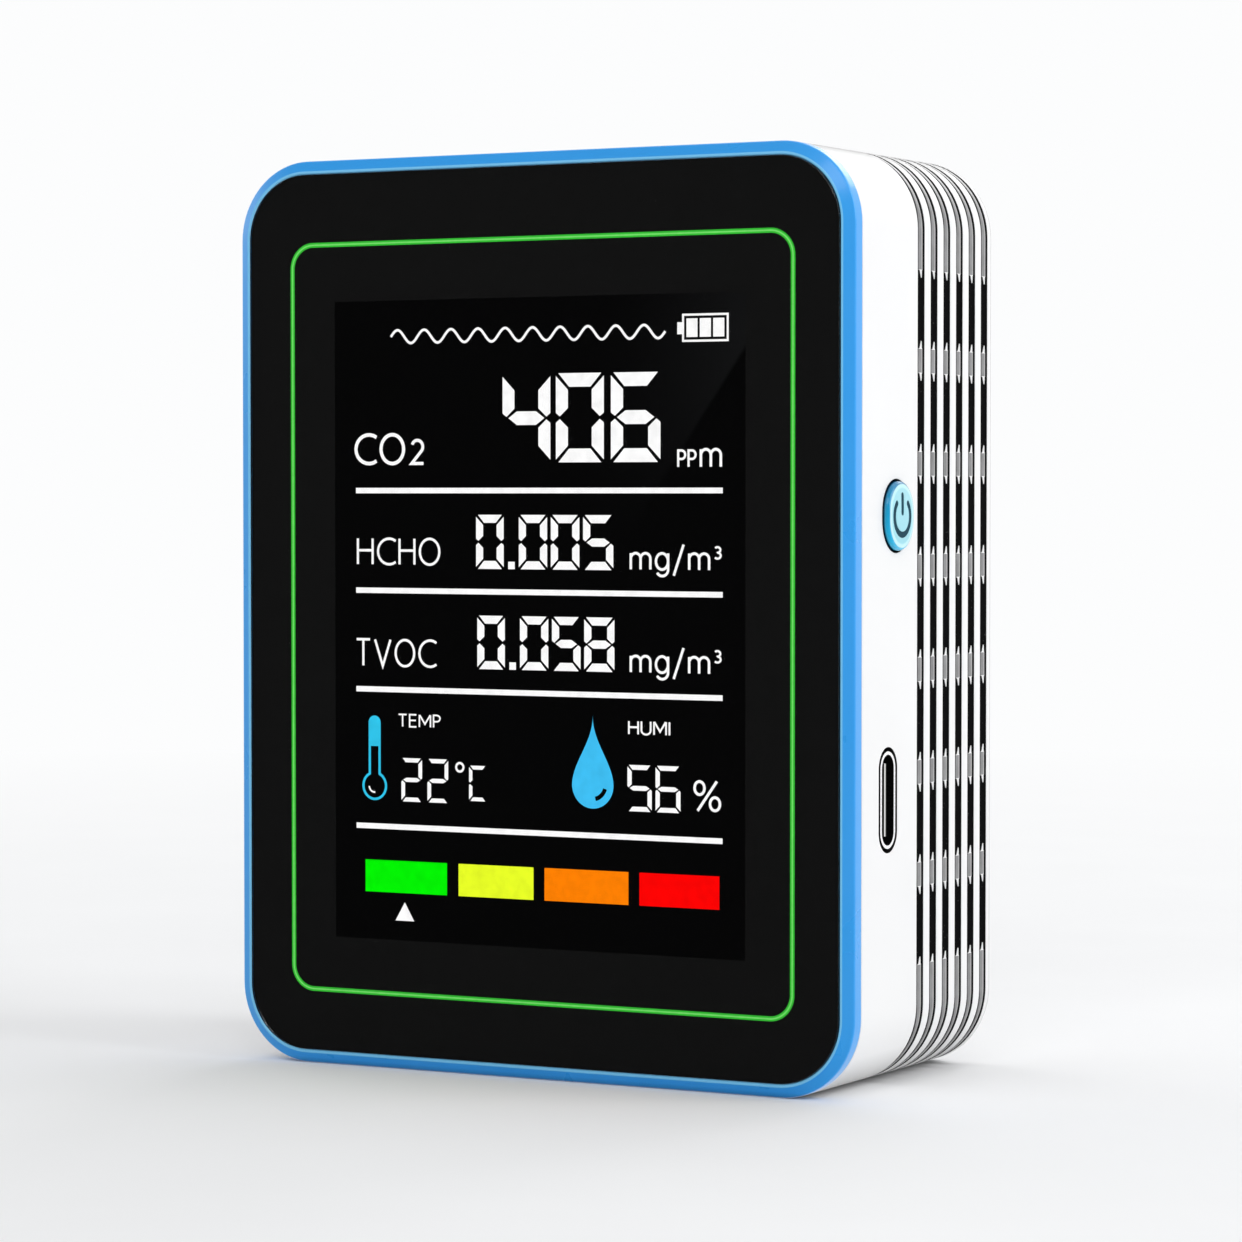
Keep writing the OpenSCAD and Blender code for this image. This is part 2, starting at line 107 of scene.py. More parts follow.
# Controls
BUTTON_DEPTH = (BUTTON_LO.y + BUTTON_HI.y) / 2 - FRONT
BUTTON_Z = (BUTTON_LO.z + BUTTON_HI.z) / 2
BUTTON_W = BUTTON_HI.y - BUTTON_LO.y
BUTTON_H = BUTTON_W + 0.8
BUTTON_GAP = 0.2
TAB_W = 3.6
USB_DEPTH = (SHELL_LO.y + SHELL_HI.y) / 2 - FRONT
USB_Z = (SHELL_LO.z + SHELL_HI.z) / 2
USB_W = SHELL_HI.y - SHELL_LO.y
USB_L = SHELL_HI.z - SHELL_LO.z
USB_GAP = 0.4
MOUTH_EDGE = 0.04
SCREW_XZ = [(sx * (SCREWS_HI.x - 2.1), z) for sx in (-1, 1) for z in (SCREWS_LO.z + 2.1, SCREWS_HI.z - 2.1)]


# ---- Mesh helpers ----

def place(x, depth, z):
    return Vector((x, FRONT + depth, z)) * MM


def link_mesh(name, verts, faces, face_materials=None):
    """A closed mesh from points in (x, depth, z), with its normals turned outwards."""
    mesh = bpy.data.meshes.new(name)
    mesh.from_pydata([place(*v) for v in verts], [], faces)
    if face_materials:
        mesh.polygons.foreach_set("material_index", face_materials)
    bm = bmesh.new()
    bm.from_mesh(mesh)
    bmesh.ops.recalc_face_normals(bm, faces=bm.faces)
    bm.to_mesh(mesh)
    bm.free()
    obj = bpy.data.objects.new(name, mesh)
    bpy.context.scene.collection.objects.link(obj)
    return obj


def set_materials(obj, *materials):
    """Gives a mesh its materials; faces keep the places they already hold in the list."""
    if obj.data.materials:
        obj.data.materials.clear()
    for m in materials:
        obj.data.materials.append(m)


def smooth(obj, angle=32.0, weighted=True):
    mesh = obj.data
    mesh.polygons.foreach_set("use_smooth", [True] * len(mesh.polygons))
    mesh.set_sharp_from_angle(angle=math.radians(angle))
    if weighted:
        modifier = obj.modifiers.new("even_shading", "WEIGHTED_NORMAL")
        modifier.keep_sharp = True


def finish_piece(obj, body="housing", replaces=(), angle=32.0, weighted=True):
    """Shades a piece and puts it on its body."""
    smooth(obj, angle, weighted)
    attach(obj, body)
    if replaces:
        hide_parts(*replaces)
    return obj


def bake(obj):
    """Replaces the mesh by what its modifiers make of it."""
    bpy.context.view_layer.update()
    evaluated = obj.evaluated_get(bpy.context.evaluated_depsgraph_get())
    mesh = bpy.data.meshes.new_from_object(evaluated)
    obj.modifiers.clear()
    obj.data = mesh


def combine(obj, others, operation):
    """Adds or cuts away other meshes, which are used up."""
    for other in others:
        modifier = obj.modifiers.new("combine", "BOOLEAN")
        modifier.operation = operation
        modifier.solver = "EXACT"
        modifier.object = other
    bake(obj)
    for other in others:
        bpy.data.objects.remove(other)


def clean(obj, distance=0.002):
    """Joins points that lie on each other and drops faces of no area."""
    bm = bmesh.new()
    bm.from_mesh(obj.data)
    bmesh.ops.remove_doubles(bm, verts=bm.verts, dist=distance * MM)
    bmesh.ops.dissolve_degenerate(bm, edges=bm.edges, dist=distance * MM)
    bm.to_mesh(obj.data)
    bm.free()


def rounded_loop(x0, z0, x1, z1, r, steps=ARC_STEPS):
    """Points round a rectangle with round corners, anticlockwise from its lower right corner."""
    corners = [(x1 - r, z0 + r, -90), (x1 - r, z1 - r, 0), (x0 + r, z1 - r, 90), (x0 + r, z0 + r, 180)]
    return [(cx + r * math.cos(math.radians(start + 90 * k / steps)),
             cz + r * math.sin(math.radians(start + 90 * k / steps)))
            for cx, cz, start in corners for k in range(steps + 1)]


def outline_loop(inset, depth):
    loop = rounded_loop(-HALF_W + inset, inset, HALF_W - inset, HEIGHT - inset, CORNER_R - inset)
    return [(x, depth, z) for x, z in loop]


def loft(loops, closed=False, cap_first=False, cap_last=False):
    """Quads between loops of equal length. closed joins the last loop to the first."""
    n = len(loops[0])
    verts = [p for loop in loops for p in loop]
    rows = len(loops) if closed else len(loops) - 1
    faces = []
    for i in range(rows):
        a, b = i * n, (i + 1) % len(loops) * n
        faces += [(a + k, a + (k + 1) % n, b + (k + 1) % n, b + k) for k in range(n)]
    if cap_first:
        faces.append(tuple(range(n)))
    if cap_last:
        faces.append(tuple(range((len(loops) - 1) * n, len(loops) * n)))
    return verts, faces


def filleted(corners, steps=5, closed=True):
    """A path through (u, v, radius) corners with each corner rounded by its radius."""
    path = []
    count = len(corners)
    for i, (u, v, r) in enumerate(corners):
        if r <= 0 or (not closed and i in (0, count - 1)):
            path.append((u, v))
            continue
        here = Vector((u, v))
        before = (Vector(corners[i - 1][:2]) - here).normalized()
        after = (Vector(corners[(i + 1) % count][:2]) - here).normalized()
        half = before.angle(after) / 2
        reach = r / math.tan(half)
        centre = here + (before + after).normalized() * (r / math.sin(half))
        start, end = here + before * reach - centre, here + after * reach - centre
        sweep = start.angle(end)
        for k in range(steps + 1):
            t = k / steps
            point = centre + (start * math.sin((1 - t) * sweep) + end * math.sin(t * sweep)) / math.sin(sweep)
            path.append(tuple(point))
    return path


def lathe_x(profile, centre_depth, centre_z, steps=96):
    """A solid turned about an axis along X from (radius, x) points that start and end on the axis."""
    rings = [p for p in profile if p[0] > 1e-6]
    loops = [[(x, centre_depth + r * math.cos(2 * math.pi * k / steps), centre_z + r * math.sin(2 * math.pi * k / steps))
              for k in range(steps)] for r, x in rings]
    return loft(loops, cap_first=True, cap_last=True)


def prism_y(outline, depth0, depth1):
    """A flat (x, z) outline given thickness in depth."""
    return loft([[(x, d, z) for x, z in outline] for d in (depth0, depth1)], cap_first=True, cap_last=True)


def prism_x(outline, x0, x1):
    """A flat (depth, z) outline given thickness along X."""
    return loft([[(x, d, z) for d, z in outline] for x in (x0, x1)], cap_first=True, cap_last=True)


def merge(parts):
    """One vertex and face list from several."""
    verts, faces = [], []
    for v, f in parts:
        faces += [tuple(i + len(verts) for i in face) for face in f]
        verts += v
    return verts, faces


# ---- Node helpers ----

class Shader:
    """A material's node tree with short calls for the nodes used here."""

    def __init__(self, name):
        self.material = bpy.data.materials.new(name)
        self.material.use_nodes = True
        self.tree = self.material.node_tree
        self.tree.nodes.clear()
        self.output = self.node("ShaderNodeOutputMaterial")
        self.position = self.node("ShaderNodeTexCoord").outputs["Object"]

    def node(self, kind, **settings):
        made = self.tree.nodes.new(kind)
        for key, value in settings.items():
            setattr(made, key, value)
        return made

    def set(self, socket, value):
        """Puts a number, a colour or another node's output into an input."""
        if isinstance(value, bpy.types.NodeSocket):
            self.tree.links.new(value, socket)
        elif isinstance(value, (tuple, list)) and len(value) == 3 and socket.type == "RGBA":
            socket.default_value = (*value, 1.0)
        else:
            socket.default_value = value

    def noise(self, size_mm, detail=3.0, roughness=0.5, vector=None):
        made = self.node("ShaderNodeTexNoise")
        self.set(made.inputs["Vector"], vector or self.position)
        self.set(made.inputs["Scale"], 1.0 / (size_mm * MM))
        self.set(made.inputs["Detail"], detail)
        self.set(made.inputs["Roughness"], roughness)
        return made.outputs["Fac"]

    def spots(self, size_mm, feature="F1"):
        made = self.node("ShaderNodeTexVoronoi", feature=feature)
        self.set(made.inputs["Vector"], self.position)
        self.set(made.inputs["Scale"], 1.0 / (size_mm * MM))
        return made.outputs["Distance"]

    def remap(self, value, low, high, new_low, new_high):
        made = self.node("ShaderNodeMapRange")
        for name, number in zip(("Value", "From Min", "From Max", "To Min", "To Max"),
                                (value, low, high, new_low, new_high)):
            self.set(made.inputs[name], number)
        return made.outputs["Result"]

    def math(self, operation, a, b=0.0):
        made = self.node("ShaderNodeMath", operation=operation)
        self.set(made.inputs[0], a)
        self.set(made.inputs[1], b)
        return made.outputs[0]

    def mix(self, share, a, b):
        made = self.node("ShaderNodeMix", data_type="RGBA")
        self.set(made.inputs[0], share)
        self.set(made.inputs[6], a)
        self.set(made.inputs[7], b)
        return made.outputs[2]

    def bump(self, height, distance_mm, strength=1.0):
        made = self.node("ShaderNodeBump")
        self.set(made.inputs["Height"], height)
        self.set(made.inputs["Distance"], distance_mm * MM)
        self.set(made.inputs["Strength"], strength)
        return made.outputs["Normal"]

    def crevice(self, distance_mm):
        """1 on open surfaces, towards 0 in gaps narrower than the distance."""
        made = self.node("ShaderNodeAmbientOcclusion", samples=8)
        self.set(made.inputs["Distance"], distance_mm * MM)
        return made.outputs["AO"]

    def axis(self, name):
        made = self.node("ShaderNodeSeparateXYZ")
        self.set(made.inputs[0], self.position)
        return made.outputs[name]

    def normal(self, name):
        made = self.node("ShaderNodeSeparateXYZ")
        self.set(made.inputs[0], self.node("ShaderNodeNewGeometry").outputs["Normal"])
        return made.outputs[name]

    def principled(self, **values):
        made = self.node("ShaderNodeBsdfPrincipled")
        for key, value in values.items():
            self.set(made.inputs[key.replace("_", " ")], value)
        self.tree.links.new(made.outputs[0], self.output.inputs["Surface"])
        return made


def tinted(colour, factor):
    return tuple(min(1.0, c * factor) for c in colour)


def moulded_plastic(name, colour, roughness=0.35, texture=0.4, coat=0.0, painted_gap_shade=0.55, edge_shade=1.0):
    """Moulded plastic: fine satin texture, slow colour drift, painted shade in the gaps and painted shade where seen
    edge on.
    """
    s = Shader(name)
    drift = s.remap(s.noise(14, 2), 0.15, 0.85, 0.0, 1.0)
    clean_colour = s.mix(drift, tinted(colour, 0.985), tinted(colour, 1.015))
    # painted shade: the colour darkens towards painted_gap_shade times itself where ambient occlusion finds a narrow
    # gap
    open_share = s.remap(s.crevice(0.7), 0.25, 0.85, 0.0, 1.0)
    shaded = s.mix(open_share, tinted(colour, painted_gap_shade), clean_colour)
    grain = s.noise(0.11, 4, 0.6)
    rough = s.remap(s.noise(5, 3), 0.15, 0.85, roughness - 0.07, roughness + 0.08)
    # painted shade: where the surface is seen edge on, the colour darkens towards edge_shade times itself and the
    # specular drops
    edge_on = s.remap(s.node("ShaderNodeLayerWeight").outputs["Facing"], 0.7, 0.95, 0.0, 1.0)
    shaded = s.mix(edge_on, shaded, tinted(colour, edge_shade))
    specular = s.remap(edge_on, 0.0, 1.0, 0.5, 0.5 * edge_shade)
    s.principled(Base_Color=shaded, Roughness=rough, Specular_IOR_Level=specular, Coat_Weight=coat, Coat_Roughness=0.12,
                 Normal=s.bump(grain, 0.006, texture))
    return s.material


def plated_metal(name, colour, roughness=0.25, brushed=0.25):
    """Plated sheet or turned metal: faint drawing lines, uneven polish, painted shade in the gaps."""
    s = Shader(name)
    stretch = s.node("ShaderNodeMapping")
    s.set(stretch.inputs["Vector"], s.position)
    s.set(stretch.inputs["Scale"], (1.0, 1.0, 0.06))
    lines = s.noise(0.06, 3, 0.6, stretch.outputs[0])
    patches = s.noise(1.6, 3)
    # painted shade: the colour falls to 0.3 of itself in narrow gaps
    open_share = s.remap(s.crevice(0.5), 0.2, 0.8, 0.0, 1.0)
    base = s.mix(s.remap(patches, 0.3, 0.7, 0.0, 1.0), tinted(colour, 0.92), tinted(colour, 1.05))
    s.principled(Base_Color=s.mix(open_share, tinted(colour, 0.3), base), Metallic=1.0,
                 Roughness=s.remap(patches, 0.3, 0.7, roughness - 0.06, roughness + 0.1),
                 Normal=s.bump(lines, 0.004, brushed))
    return s.material


def circuit_board(name, colour):
    """Solder mask over copper: a grid of tracks that shows as a faint lighter relief."""
    s = Shader(name)
    weave = s.noise(0.3, 2)
    tracks = []
    for turn in ("X", "Z"):
        wave = s.math("SINE", s.math("MULTIPLY", s.axis(turn), 2 * math.pi / (1.4 * MM)))
        tracks.append(s.remap(wave, 0.55, 0.62, 0.0, 1.0))
    choose = s.remap(s.noise(5, 1), 0.49, 0.51, 0.0, 1.0)
    height = s.math("ADD", s.math("MULTIPLY", tracks[0], choose),
                    s.math("MULTIPLY", tracks[1], s.math("SUBTRACT", 1.0, choose)))
    base = s.mix(height, tinted(colour, 0.8), tinted(colour, 1.5))
    s.principled(Base_Color=s.mix(s.remap(weave, 0.3, 0.7, 0.0, 1.0), base, tinted(colour, 1.1)),
                 Roughness=0.32, Coat_Weight=0.4, Normal=s.bump(height, 0.03, 0.6))
    return s.material


def soft_foam(name, colour):
    s = Shader(name)
    cells = s.spots(0.35)
    s.principled(Base_Color=s.mix(s.remap(cells, 0.0, 0.6, 0.0, 1.0), tinted(colour, 0.5), tinted(colour, 1.4)),
                 Roughness=0.9, Normal=s.bump(cells, 0.08, 0.7))
    return s.material


def vent_screen(name):
    """Fine black mesh set near flush behind the slots, a real screen whose black also stands in for the shade inside
    them as painted shadow, with a woven relief and painted highlights on scattered threads.
    """
    s = Shader(name)
    waves = [s.math("SINE", s.math("MULTIPLY", s.axis(turn), 2 * math.pi / (0.32 * MM))) for turn in ("Y", "Z")]
    weave = s.math("MULTIPLY", waves[0], waves[1])
    # painted highlight: scattered lighter specks on the threads
    specks = s.remap(s.spots(0.55), 0.05, 0.12, 1.0, 0.0)
    thread_highlight = s.math("MULTIPLY", specks, s.remap(s.noise(2.5, 2), 0.5, 0.62, 0.0, 1.0))
    s.principled(Base_Color=s.mix(thread_highlight, (0.0025, 0.0025, 0.0028), (0.12, 0.12, 0.12)), Roughness=0.8,
                 Specular_IOR_Level=0.03, Normal=s.bump(weave, 0.05, 0.8))
    return s.material


def battery_foil(name):
    s = Shader(name)
    wrinkles = s.noise(6, 4, 0.6)
    s.principled(Base_Color=(0.72, 0.73, 0.75), Metallic=0.85,
                 Roughness=s.remap(wrinkles, 0.3, 0.7, 0.35, 0.55), Normal=s.bump(wrinkles, 0.25, 0.5))
    return s.material


def lens_clear(name):
    """Clear glass that lets light straight through to what lies behind it."""
    s = Shader(name)
    smears = s.noise(9, 3)
    glass = s.node("ShaderNodeBsdfPrincipled")
    for key, value in {"Base Color": (1.0, 1.0, 1.0), "Transmission Weight": 1.0, "IOR": 1.48,
                       "Specular IOR Level": 0.35,
                       "Roughness": s.remap(smears, 0.35, 0.75, 0.0, 0.02)}.items():
        s.set(glass.inputs[key], value)
    through = s.node("ShaderNodeBsdfTransparent")
    path = s.node("ShaderNodeLightPath")
    choose = s.node("ShaderNodeMixShader")
    unseen = s.math("MAXIMUM", path.outputs["Is Shadow Ray"], path.outputs["Is Diffuse Ray"])
    s.set(choose.inputs[0], unseen)
    s.tree.links.new(glass.outputs[0], choose.inputs[1])
    s.tree.links.new(through.outputs[0], choose.inputs[2])
    s.tree.links.new(choose.outputs[0], s.output.inputs["Surface"])
    return s.material


def lit_figure(name, colour, strength=1.0):
    """A lit part of the display, with the faint unevenness of a backlight."""
    s = Shader(name)
    uneven = s.remap(s.noise(1.1, 3), 0.3, 0.7, 0.9, 1.04)
    s.principled(Base_Color=(0.0, 0.0, 0.0), Specular_IOR_Level=0.0, Emission_Color=colour,
                 Emission_Strength=s.math("MULTIPLY", uneven, strength))
    return s.material


# painted_glow adds emission to the print: painted light that makes it read brighter than its lighting makes it
def printed_ink(name, colour, painted_glow=0.0):
    s = Shader(name)
    grain = s.remap(s.noise(0.4, 3), 0.3, 0.7, 0.9, 1.1)
    s.principled(Base_Color=colour, Roughness=0.5, Specular_IOR_Level=0.0, Emission_Color=colour,
                 Emission_Strength=s.math("MULTIPLY", grain, painted_glow))
    return s.material


def display_panel(name):
    """The unlit display: black, with a painted reflection in its upper right corner, a faint slanting sheen given as
    glow.
    """
    s = Shader(name)
    x, z = s.axis("X"), s.axis("Z")
    edge = s.math("SUBTRACT", s.math("MULTIPLY", z, 0.58), s.math("MULTIPLY", x, 0.82))
    edge_at = (0.58 * 66.6 - 0.82 * 21.0) * MM
    inside = s.remap(edge, edge_at, edge_at + 0.4 * MM, 0.0, 1.0)
    fade = s.math("MULTIPLY", s.remap(edge, edge_at, edge_at + 15 * MM, 1.0, 0.0),
                  s.remap(x, 2 * MM, 21 * MM, 0.0, 1.0))
    # painted reflection: the sheen is emission, not a reflected lamp
    sheen = s.math("MULTIPLY", s.math("MULTIPLY", inside, fade), s.remap(z, 50 * MM, 70 * MM, 0.0, 1.0))
    s.principled(Base_Color=(0.0005, 0.0005, 0.0006), Roughness=0.3, Specular_IOR_Level=0.0,
                 Emission_Color=(0.9, 0.95, 1.0), Emission_Strength=s.math("MULTIPLY", sheen, 0.006))
    return s.material


def button_plastic(name):
    """Glossy translucent blue with painted light and shade: the side painted deep and lighter towards the bottom, a
    painted glint round the face's edge, a pale face painted lighter at the top, painted shade where it sits in the
    case's hole and a painted dark outline where its rim is seen edge on.
    """
    s = Shader(name)
    face_x = BUTTON_HI.x * MM
    height = s.axis("X")
    # painted glint: a bright band round the face's edge, between the side and the face
    edge_glint = s.remap(height, face_x - 0.09 * MM, face_x - 0.06 * MM, 0.0, 1.0)
    on_face = s.remap(height, face_x - 0.048 * MM, face_x - 0.04 * MM, 0.0, 1.0)
    # painted light and shade: the side is painted deep and lighter towards the bottom, the face pale and lighter
    # towards the top
    low = s.remap(s.axis("Z"), (BUTTON_Z - BUTTON_H / 2) * MM, (BUTTON_Z + BUTTON_H / 2) * MM, 1.0, 0.0)
    side = s.mix(low, (0.002, 0.19, 0.4), (0.01, 0.52, 0.85))
    face = s.mix(low, (0.35, 0.73, 0.82), (0.27, 0.66, 0.78))
    colour = s.mix(on_face, s.mix(edge_glint, side, (0.5, 0.85, 0.92)), face)
    # painted shade where the button sits inside the case's hole
    out_of_gap = s.remap(height, (HALF_W + 0.02) * MM, (HALF_W + 0.2) * MM, 0.0, 1.0)
    # painted dark outline where the rim is seen edge on and does not face down
    edge_on = s.remap(s.node("ShaderNodeLayerWeight").outputs["Facing"], 0.84, 0.97, 0.0, 0.85)
    outline = s.math("MULTIPLY", edge_on, s.remap(s.normal("Z"), -0.3, 0.1, 0.0, 1.0))
    colour = s.mix(outline, s.mix(out_of_gap, (0.002, 0.012, 0.03), colour), (0.002, 0.02, 0.04))
    shine = s.math("MULTIPLY", out_of_gap, s.math("SUBTRACT", 1.0, outline))
    s.principled(Base_Color=colour, Roughness=0.22, Coat_Weight=s.math("MULTIPLY", shine, 0.4),
                 Coat_Roughness=0.06, Specular_IOR_Level=s.math("MULTIPLY", shine, 0.5),
                 Normal=s.bump(s.noise(0.5, 2), 0.01, 0.2))
    return s.material


def ridge_plastic(name):
    """The low ridge in a vent groove: painted grey for shade on the case's sides, painted lighter where it faces up,
    with a painted highlight along its rear edge.
    """
    s = Shader(name)
    up = s.remap(s.normal("Z"), 0.25, 0.9, 0.0, 1.0)
    streaks = s.remap(s.noise(1.2, 3), 0.3, 0.7, 0.0, 1.0)
    across = s.math("MODULO", s.math("SUBTRACT", s.axis("Y"), (FRONT + GROOVE_START) * MM), GROOVE_PITCH * MM)
    # painted highlight towards the rear edge of each ridge
    rear_highlight = s.remap(across, 0.8 * MM, 1.1 * MM, 0.0, 0.6)
    # painted shade: the ridge's white plastic given as grey
    grey = s.mix(rear_highlight, s.mix(streaks, (0.19, 0.19, 0.192), (0.26, 0.26, 0.264)), (0.6, 0.6, 0.6))
    # painted light where the ridge faces up
    s.principled(Base_Color=s.mix(up, grey, (0.7, 0.7, 0.7)), Roughness=0.5,
                 Normal=s.bump(s.noise(0.11, 4, 0.6), 0.006, 0.4))
    return s.material


def socket_steel(name):
    """Plated steel, painted bright where it faces out at the socket's mouth and painted into shadow inside."""
    s = Shader(name)
    at_mouth = s.remap(s.axis("X"), (SHELL_HI.x - 0.3) * MM, (SHELL_HI.x - 0.1) * MM, 0.0, 1.0)
    # painted light at the mouth and painted shadow, near black, further in
    light = s.math("MULTIPLY", at_mouth, s.remap(s.normal("X"), 0.3, 0.6, 0.0, 1.0))
    scratches = s.remap(s.noise(0.25, 4, 0.6), 0.3, 0.7, 0.2, 0.36)
    s.principled(Base_Color=s.mix(light, (0.004, 0.004, 0.004), (0.93, 0.93, 0.94)),
                 Metallic=s.math("MULTIPLY", light, 0.25),
                 Specular_IOR_Level=0.1, Roughness=scratches, Normal=s.bump(s.noise(0.08, 3), 0.003, 0.3))
    return s.material


def tongue_plastic(name):
    """Black plastic with the edge of the steel plate that runs through its middle."""
    s = Shader(name)
    off_middle = s.math("ABSOLUTE", s.math("SUBTRACT", s.axis("Y"), (FRONT + USB_DEPTH) * MM))
    plate = s.remap(off_middle, 0.11 * MM, 0.15 * MM, 1.0, 0.0)
    grain = s.noise(0.1, 3)
    s.principled(Base_Color=s.mix(plate, (0.006, 0.006, 0.006), (0.8, 0.8, 0.78)), Roughness=0.5,
                 Specular_IOR_Level=0.1, Normal=s.bump(grain, 0.004, 0.4))
    return s.material


# Painted shadow: a near-black finish for the vent channels, slot reveals and the deep walls of the holes, where there
# is only shade.
def painted_gap_shadow(name):
    s = Shader(name)
    s.principled(Base_Color=s.mix(s.noise(1.5, 2), (0.006, 0.006, 0.006), (0.02, 0.02, 0.02)), Roughness=0.8,
                 Specular_IOR_Level=0.1)
    return s.material


WHITE = moulded_plastic("white_plastic", (0.86, 0.862, 0.866), 0.36, edge_shade=0.45)
# the vent ridges in painted shade
RIDGE = ridge_plastic("vent_ridge")
# painted shadow for the vent channels, slot reveals and hole walls
GAP_SHADOW = painted_gap_shadow("vent_gap_shadow")
BLUE = moulded_plastic("blue_plastic", (0.028, 0.35, 0.87), 0.3, 0.25, coat=0.3, painted_gap_shade=0.6)


# painted highlight: a lighter blue for the rim's inner lip, where the light catches its small round
BLUE_LIP_HIGHLIGHT = moulded_plastic("blue_lip_highlight", (0.2, 0.6, 0.95), 0.2, 0.1, coat=0.5, painted_gap_shade=0.7)


# ---- Rear case ----

class Station:
    """A place on the outline: its point, its outward normal and what the grooves do there."""

    def __init__(self, x, z, nx, nz, kind="solid"):
        self.x, self.z, self.nx, self.nz, self.kind = x, z, nx, nz, kind

    def at(self, inset, depth):
        return (self.x - self.nx * inset, depth, self.z - self.nz * inset)


def slot_marks():
    """Heights along a side where slots start and end: (z, kind of the cell above it, ridge width share)."""
    marks = []
    for k in range(SLOTS):
        mid = HEIGHT / 2 + (k - (SLOTS - 1) / 2) * SLOT_PITCH
        low, high = mid - SLOT_L / 2, mid + SLOT_L / 2
        marks += [(low, "wedge", 1.0), (low + SHOULDER, "wedge", TOOTH_BASE), (low + NOTCH, "open", TOOTH_TIP),
                  (high - NOTCH, "wedge", TOOTH_TIP), (high - SHOULDER, "wedge", TOOTH_BASE), (high, "solid", 1.0)]
    return marks


def case_stations():
    """Anticlockwise round the case as seen from the front, with the kind of the cell that follows."""
    stations = []

    def corner(cx, cz, start):
        for k in range(1, ARC_STEPS):
            turn = 90 * k / ARC_STEPS
            a = math.radians(start + turn)
            c, s = math.cos(a), math.sin(a)
            bend = min(1.0, min(turn, 90 - turn) / RIDGE_BEND)
            share = 1.0 - (1.0 - RIDGE_CORNER) * bend
            stations.append((Station(cx + CORNER_R * c, cz + CORNER_R * s, c, s), "solid", share))

    side_x, flat_x, low_z, high_z = HALF_W, HALF_W - CORNER_R, CORNER_R, HEIGHT - CORNER_R
    marks = slot_marks()
    stations.append((Station(side_x, low_z, 1, 0), "solid", 1.0))
    for z, kind, share in marks:
        stations.append((Station(side_x, z, 1, 0), kind, share))
    stations.append((Station(side_x, high_z, 1, 0), "solid", 1.0))
    corner(flat_x, high_z, 0)
    stations.append((Station(flat_x, HEIGHT, 0, 1), "solid", 1.0))
    stations.append((Station(-flat_x, HEIGHT, 0, 1), "solid", 1.0))
    corner(-flat_x, high_z, 90)
    stations.append((Station(-side_x, high_z, -1, 0), "solid", 1.0))
    kinds_above = [kind for _, kind, _ in marks]
    for i in range(len(marks) - 1, -1, -1):
        kind_below = kinds_above[i - 1] if i > 0 else "solid"
        stations.append((Station(-side_x, marks[i][0], -1, 0), kind_below, marks[i][2]))
    stations.append((Station(-side_x, low_z, -1, 0), "solid", 1.0))
    corner(-flat_x, low_z, 180)
    stations.append((Station(-flat_x, 0, 0, -1), "solid", 1.0))
    stations.append((Station(flat_x, 0, 0, -1), "solid", 1.0))
    corner(flat_x, low_z, 270)
    return stations


def arc_pairs(radius, steps, start, end):
    """(1 - sin, 1 - cos) style offsets of a quarter arc, scaled by its radius."""
    return [(radius * math.sin(math.radians(start + (end - start) * k / steps)),
             radius * (1 - math.cos(math.radians(start + (end - start) * k / steps)))) for k in range(steps + 1)]


def groove_columns(y0):
    """One groove's cross-section: (depth, inset, line it narrows towards at a slot, what follows it)."""
    y1, mid = y0 + GROOVE_W, y0 + RIDGE_LINE
    left, right = y0 + CHANNEL_W[0], y1 - CHANNEL_W[1]
    columns = []
    for along, drop in arc_pairs(RIB_EDGE, 3, 0, 90):
        columns.append((y0 - RIB_EDGE + along, drop, None, "rib"))
    columns[-1] = (*columns[-1][:3], "gap")
    columns.append((y0, CHANNEL_DEPTH, None, "channel"))
    columns.append((left, CHANNEL_DEPTH, mid, "gap_ridge"))
    for along, drop in reversed(arc_pairs(RIDGE_EDGE, 3, 0, 90)):
        columns.append((left + RIDGE_EDGE - along, RIDGE_DROP + drop, mid, "ridge"))
    for along, drop in arc_pairs(RIDGE_EDGE, 3, 0, 90):
        columns.append((right - RIDGE_EDGE + along, RIDGE_DROP + drop, mid, "ridge"))
    columns[-1] = (*columns[-1][:3], "gap_ridge")
    columns.append((right, CHANNEL_DEPTH, mid, "channel"))
    columns.append((y1, CHANNEL_DEPTH, None, "gap"))
    for along, drop in reversed(arc_pairs(RIB_EDGE, 3, 0, 90)):
        columns.append((y1 + RIB_EDGE - along, drop, None, "rib"))
    return columns


